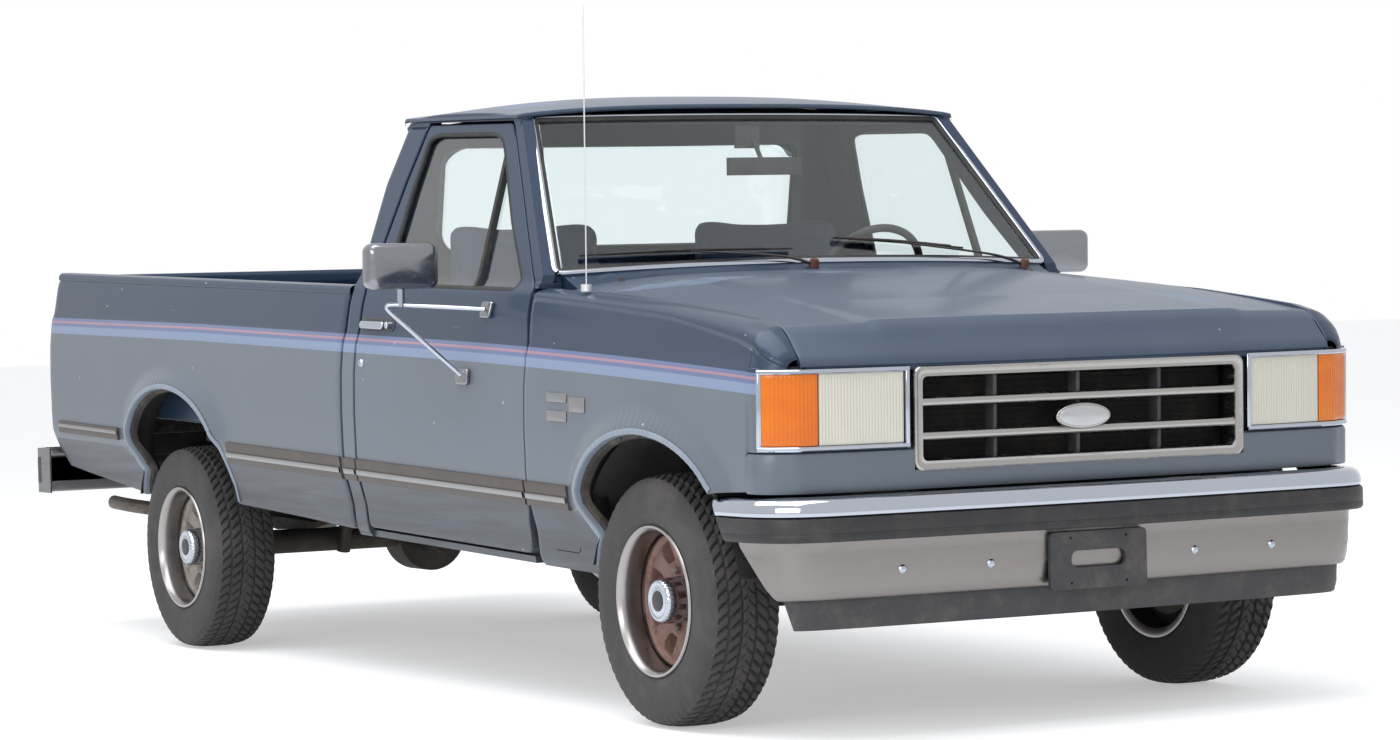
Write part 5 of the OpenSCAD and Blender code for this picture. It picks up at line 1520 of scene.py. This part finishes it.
# %% Dashboard and steering wheel
dash_plastic = dull("dash_plastic", (54, 60, 74), (68, 74, 88), 0.65, 420.0, 0.0003, 0.15)
DASH = [(-501, 902), (-501, 1098), (-620, 1120), (-735, 1186), (-870, 1176), (-905, 1160), (-938, 1088),
        (-925, 902), (-800, 862)]
dash = slab(-776, 776, DASH, 14.0)
piece("dash_body", dash, dash_plastic, hides="dashboard")
panel_at = lambda y, w, d: level(-935 + (w - 1088) * 0.42 - d, y, w)
cluster = block(rounded_rect((190, 1006), (600, 1078), 12, 6), -6.0, 8.0, 4.0, panel_at)
piece("instrument_panel", cluster, black_plastic)
dials = [turned(np.array([(0, 0.002), (r * 0.86, 0.002), (r * 0.9, 0.006), (r, 0.006), (r * 1.02, 0.0)]),
                panel_at(y, 1042, 8.0), (-1, 0, 0.1), 32)
         for y, r in ((300, 0.030), (400, 0.030), (490, 0.022))]
piece("dials", dials, silver_insert)
knobs = [turned(np.array([(0, 0.016), (0.008, 0.016), (0.010, 0.012), (0.011, 0)]), panel_at(y, 1040, -4.0),
                (-1, 0, 0.1), 20) for y in (-40, 20, 80, 130)]
piece("dash_knobs", [block(rounded_rect((-90, 1000), (170, 1076), 10, 5), -6.0, 4.0, 3.0, panel_at), *knobs],
      black_plastic)
glove = block(rounded_rect((-640, 960), (-200, 1072), 14, 6), -6.0, 4.0, 3.0, panel_at)
piece("glove_lid", glove, dash_plastic)

tilt = math.radians(31)
hub = level(-1005, 380, 1160)
column = np.array([-math.cos(tilt), 0, math.sin(tilt)])
column = np.array([column[0] * math.cos(RAKE) + column[2] * math.sin(RAKE), 0,
                   column[2] * math.cos(RAKE) - column[0] * math.sin(RAKE)])
across, upward = np.array([0, 1.0, 0]), np.cross(column, [0, 1.0, 0])
upward *= np.sign(upward[2])
a = np.linspace(0, 2 * math.pi, 97)
b = np.linspace(0, 2 * math.pi, 17)
ca, sa = np.cos(a)[:, None, None], np.sin(a)[:, None, None]
rim = (hub + (0.178 + 0.0125 * np.cos(b))[None, :, None] * (ca * across + sa * upward)
       + 0.0125 * np.sin(b)[None, :, None] * column)
piece("steering_rim", rim, black_plastic, "steering_wheel", "steering_wheel", centre=hub)
def wheel_at(y, w, d):
    """Points in the steering wheel's own plane: y across, w up and d along the column, all in mm."""
    return (hub + y[..., None] / 1000 * across + w[..., None] / 1000 * upward
            + d[..., None] / 1000 * column)

spoke = [block(rounded_rect((-172, -34), (172, 6), 10, 5), -14.0, 0.0, 5.0, wheel_at),
         block(rounded_rect((-70, -60), (70, 40), 22, 6), -26.0, 14.0, 12.0, wheel_at)]
piece("steering_pad", spoke, dash_plastic, "steering_wheel")
piece("steering_hub", turned(np.array([(0, 0.0), (0.030, 0.0), (0.034, -0.03), (0.030, -0.06), (0, -0.06)]),
                             hub, column, 32), black_plastic,
      "steering_wheel")
print(len(made), "pieces")

# %% [markdown]
# The parts that keep their CAD shape are the ones that are mostly hidden: frame, axles, springs, engine,
# tanks and the cab's inner shell. Each gets a worn finish of its own.

# %% Finishes for the CAD parts
cast_iron = dull("cast_iron", (52, 50, 48), (84, 80, 76), 0.6, 180.0, 0.0006, 0.6, 0.5)
sooty_steel = rusty("sooty_exhaust_steel", (78, 74, 70), (120, 112, 104), 0.6)
tank_black = dull("fuel_tank_black", (22, 22, 23), (34, 33, 32), 0.5, 300.0, 0.0002, 0.5)
spring_steel = rusty("spring_steel", (40, 38, 37), (62, 58, 54), 0.5)
antenna_steel = bright("antenna_steel", (0.7, 0.7, 0.72), 0.2, 0.3)
CAD_FINISH = {"cab_shell": paint, "cowl": plain_paint, "antenna": antenna_steel, "cab_mirror": black_plastic,
              "driveline": cast_iron, "engine_block": cast_iron, "exhaust": sooty_steel,
              "frame_rails": chassis, "front_beams": chassis, "fuel_tank": tank_black,
              "knuckle_left": cast_iron, "knuckle_right": cast_iron, "leaf_springs": spring_steel,
              "plate_bracket": black_plastic, "radiator": mesh_back, "rear_axle": cast_iron,
              "rear_bumper": step_metal, "shock_absorbers": spring_steel, "steering_column": black_plastic}
for node, finish in CAD_FINISH.items():
    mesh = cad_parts[node].data
    mesh.materials.clear()
    mesh.materials.append(finish)
print(len(CAD_FINISH), "CAD parts re-finished")

# %% [markdown]
# Between the fender's front edge and the corner lamp the painted front panel shows as a narrow rounded
# strip. Near-black inner liners close the wheel arches as painted shade, and a skin covers the cab's rear
# quarter. A sill under the tail, panels inside the rear wheels and aprons beside the engine are near-black
# sheets of painted shade that close gaps that daylight would show through, and a plastic pad covers each
# end of the rear bumper.

# %% Fillers, liners and quarters
# The sill under the tail is a near-black sheet of painted shade.
piece("bed_rear_sill", box_at((-4436, -930, 476), (-4424, 930, 642), 3.0), painted_shade_black)
for name, s in SIDES:
    u = np.linspace(604, 557, 14)
    y = np.interp(u, nose_line[::-1, 0], nose_line[::-1, 1])
    w = np.linspace(764, 983, 30)[:, None]
    face = level(u[None, :] + 0 * w, y[None, :] - 2.0 + 0 * w, w + 0 * u[None, :])
    piece(f"lamp_side_strip_{name}", on_side([face], s), paint, wall=INNER_STEEL)
    # A near-black panel inside each rear wheel: painted shade under the bed.
    under_bed_shade = box_at((-3800, 590, 460), (-2950, 596, 640), 2.0)
    piece(f"under_bed_shade_panel_{name}", on_side([under_bed_shade], s), painted_shade_black)
    caps = box_at((-2734, 700, 530), (-2700, 962, 628), 5.0, from_middle)
    piece(f"rear_bumper_pad_{name}", on_side([caps], s), black_plastic)
    # Each arch liner is a near-black sheet: painted shade inside the wheel arch.
    for end, axle in (("front", 0.0), ("rear", REAR)):
        line = lip_line(end, 100)
        centre = np.array([axle + 10, TYRE_R])
        ys = np.array([935.0, 925.0, 900.0, 870.0])
        grow = np.array([1.0, 1.015, 1.03, 1.035])
        rows = [level(centre[0] + (line[:, 0] - centre[0]) * g, yy, centre[1] + (line[:, 1] - centre[1]) * g)
                for yy, g in zip(ys, grow)]
        piece(f"arch_liner_{end}_{name}", on_side([np.stack(rows)], s), painted_shade_black,
              wall=0.002, centre=level(axle, s * 900, 1500))
    front = along([(-1861, 380), (-1861, 1180), (-1841, 1290), (-1793, 1470), (-1733, 1640)], 80)
    back = along([(-1944, 380), (-1944, 1200), (-1940, 1289), (-1927, 1462), (-1883, 1590), (-1866, 1640)],
                 80)
    flat = between(front, back, 12)
    skin = on_skin(flat[..., 0], flat[..., 1], 1.5)
    piece(f"cab_quarter_{name}", on_side([skin], s), paint, wall=INNER_STEEL)
u = np.linspace(-590, 540, 70)
arch_w = TYRE_R + np.sqrt(np.clip(452.0 ** 2 - u ** 2, 0, None))
arch_w = np.where(np.abs(u) < 452, np.maximum(arch_w, 430), 430)
APRON = ((925, arch_w - 6), (760, arch_w + 4), (655, arch_w + 10), (640, arch_w + 26),
         (636, np.full_like(u, 1020.0)), (650, np.full_like(u, 1034.0)),
         (852, np.minimum(1040.0, hood_seam(u) - 24)))
apron = np.stack([level(u, y_at, w_at) for y_at, w_at in APRON])
# The aprons beside the engine are near-black sheets of painted shade.
for name, s in SIDES:
    piece(f"engine_bay_apron_{name}", on_side([apron], s), painted_shade_black, wall=INNER_STEEL,
          centre=level(0, s * 800, 300))
print(len(made), "pieces")

# %% [markdown]
# The camera stands low and in front of the right side. A pale seamless floor and background keep the
# outline clear, and two large soft lights give the long highlights that show a panel's curve.

# %% Floor, light and camera
floor = Finish("pale_floor")
rays = floor.node("ShaderNodeLightPath")
seen = floor.math("MAXIMUM", floor.wire(rays, "Is Camera Ray"),
                  floor.math("MAXIMUM", floor.wire(rays, "Is Glossy Ray"),
                             floor.wire(rays, "Is Transmission Ray")))
glow = floor.node("ShaderNodeEmission", Color=(1, 1, 1), Strength=0.42)
dark = floor.node("ShaderNodeEmission", Color=(0, 0, 0), Strength=0.0)
floor_white = floor.done(Base_Color=(0.8, 0.8, 0.8), Roughness=0.9)
extra = floor.node("ShaderNodeMixShader")
floor.plug(extra.inputs[0], seen)
floor.tree.links.new(dark.outputs[0], extra.inputs[1])
floor.tree.links.new(glow.outputs[0], extra.inputs[2])
total = floor.node("ShaderNodeAddShader")
floor.tree.links.new(floor.shader.outputs[0], total.inputs[0])
floor.tree.links.new(extra.outputs[0], total.inputs[1])
floor.tree.links.new(total.outputs[0], floor.tree.nodes["Material Output"].inputs["Surface"])
ground = bpy.data.meshes.new("floor")
ground.from_pydata([(-60, -60, -0.002), (60, -60, -0.002), (60, 60, -0.002), (-60, 60, -0.002)], [],
                   [(0, 1, 2, 3)])
ground.materials.append(floor_white)
ground_obj = bpy.data.objects.new("floor", ground)
bpy.context.collection.objects.link(ground_obj)
ground_obj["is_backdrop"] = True

world = bpy.data.worlds.new("studio")
world.use_nodes = True
bpy.context.scene.world = world
tree = world.node_tree
tree.nodes.clear()
out = tree.nodes.new("ShaderNodeOutputWorld")
soft, white = tree.nodes.new("ShaderNodeBackground"), tree.nodes.new("ShaderNodeBackground")
soft.inputs["Color"].default_value, soft.inputs["Strength"].default_value = (0.93, 0.96, 1.0, 1), 0.6
white.inputs["Color"].default_value, white.inputs["Strength"].default_value = (1, 1, 1, 1), 1.0
path, both, three, blend = (tree.nodes.new(k)
                            for k in ("ShaderNodeLightPath", "ShaderNodeMath", "ShaderNodeMath",
                                      "ShaderNodeMixShader"))
both.operation = three.operation = "MAXIMUM"
tree.links.new(path.outputs["Is Camera Ray"], both.inputs[0])
tree.links.new(path.outputs["Is Transmission Ray"], both.inputs[1])
tree.links.new(both.outputs[0], three.inputs[0])
tree.links.new(path.outputs["Is Glossy Ray"], three.inputs[1])
tree.links.new(three.outputs[0], blend.inputs["Fac"])
tree.links.new(soft.outputs[0], blend.inputs[1])
tree.links.new(white.outputs[0], blend.inputs[2])
tree.links.new(blend.outputs[0], out.inputs["Surface"])

def area_light(name, at, aim, size, power, tone=(1, 1, 1)):
    """A soft rectangular light turned to face a point."""
    lamp = bpy.data.lights.new(name, "AREA")
    lamp.shape, lamp.size, lamp.size_y, lamp.energy, lamp.color = "RECTANGLE", size[0], size[1], power, tone
    obj = bpy.data.objects.new(name, lamp)
    obj.location = at
    obj.rotation_euler = (Vector(aim) - Vector(at)).to_track_quat("-Z", "Y").to_euler()
    bpy.context.collection.objects.link(obj)

area_light("sky_panel", (1.0, -2.5, 8.0), (0, 0, 0.8), (10, 7), 760, (0.94, 0.97, 1.0))
area_light("side_panel", (8.0, -9.0, 4.5), (0.4, 0, 0.8), (9, 4), 430)

eye = np.array([11.6678, -6.2605, 1.2067])
yaw, pitch, roll = (math.radians(v) for v in (150.544, -1.297, -1.493))
ahead = np.array([math.cos(yaw) * math.cos(pitch), math.sin(yaw) * math.cos(pitch), math.sin(pitch)])
right0 = np.array([math.sin(yaw), -math.cos(yaw), 0.0])
up0 = np.cross(right0, ahead)
right, up = math.cos(roll) * right0 + math.sin(roll) * up0, -math.sin(roll) * right0 + math.cos(roll) * up0
view = Matrix(np.block([[np.stack([right, up, -ahead, eye], -1)], [np.array([[0, 0, 0, 1.0]])]]).tolist())
camera = bpy.data.objects.new("camera", bpy.data.cameras.new("camera"))
camera.data.lens, camera.data.sensor_width = 105.33, 36.0
camera.data.shift_x, camera.data.shift_y = -0.0018, 0.0038
camera.matrix_world = view
camera.data.clip_end = 200.0
bpy.context.collection.objects.link(camera)
bpy.context.scene.camera = camera
bpy.context.scene.view_settings.view_transform = "Standard"

# %% [markdown]
# The size of the finished truck is written beside the CAD's own, so the two can be compared.

# %% Size and finish
full_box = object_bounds()

def plain(v):
    """Nested lists of plain numbers from any nesting of vectors."""
    return [plain(k) for k in v] if hasattr(v, "__len__") else round(float(v), 5)

{"cad": plain(cad_box), "visual": plain(full_box)}
print("CAD", plain(cad_box), "visual", plain(full_box))
print(len(made), "pieces,", sum(made.values()), "faces before modifiers")
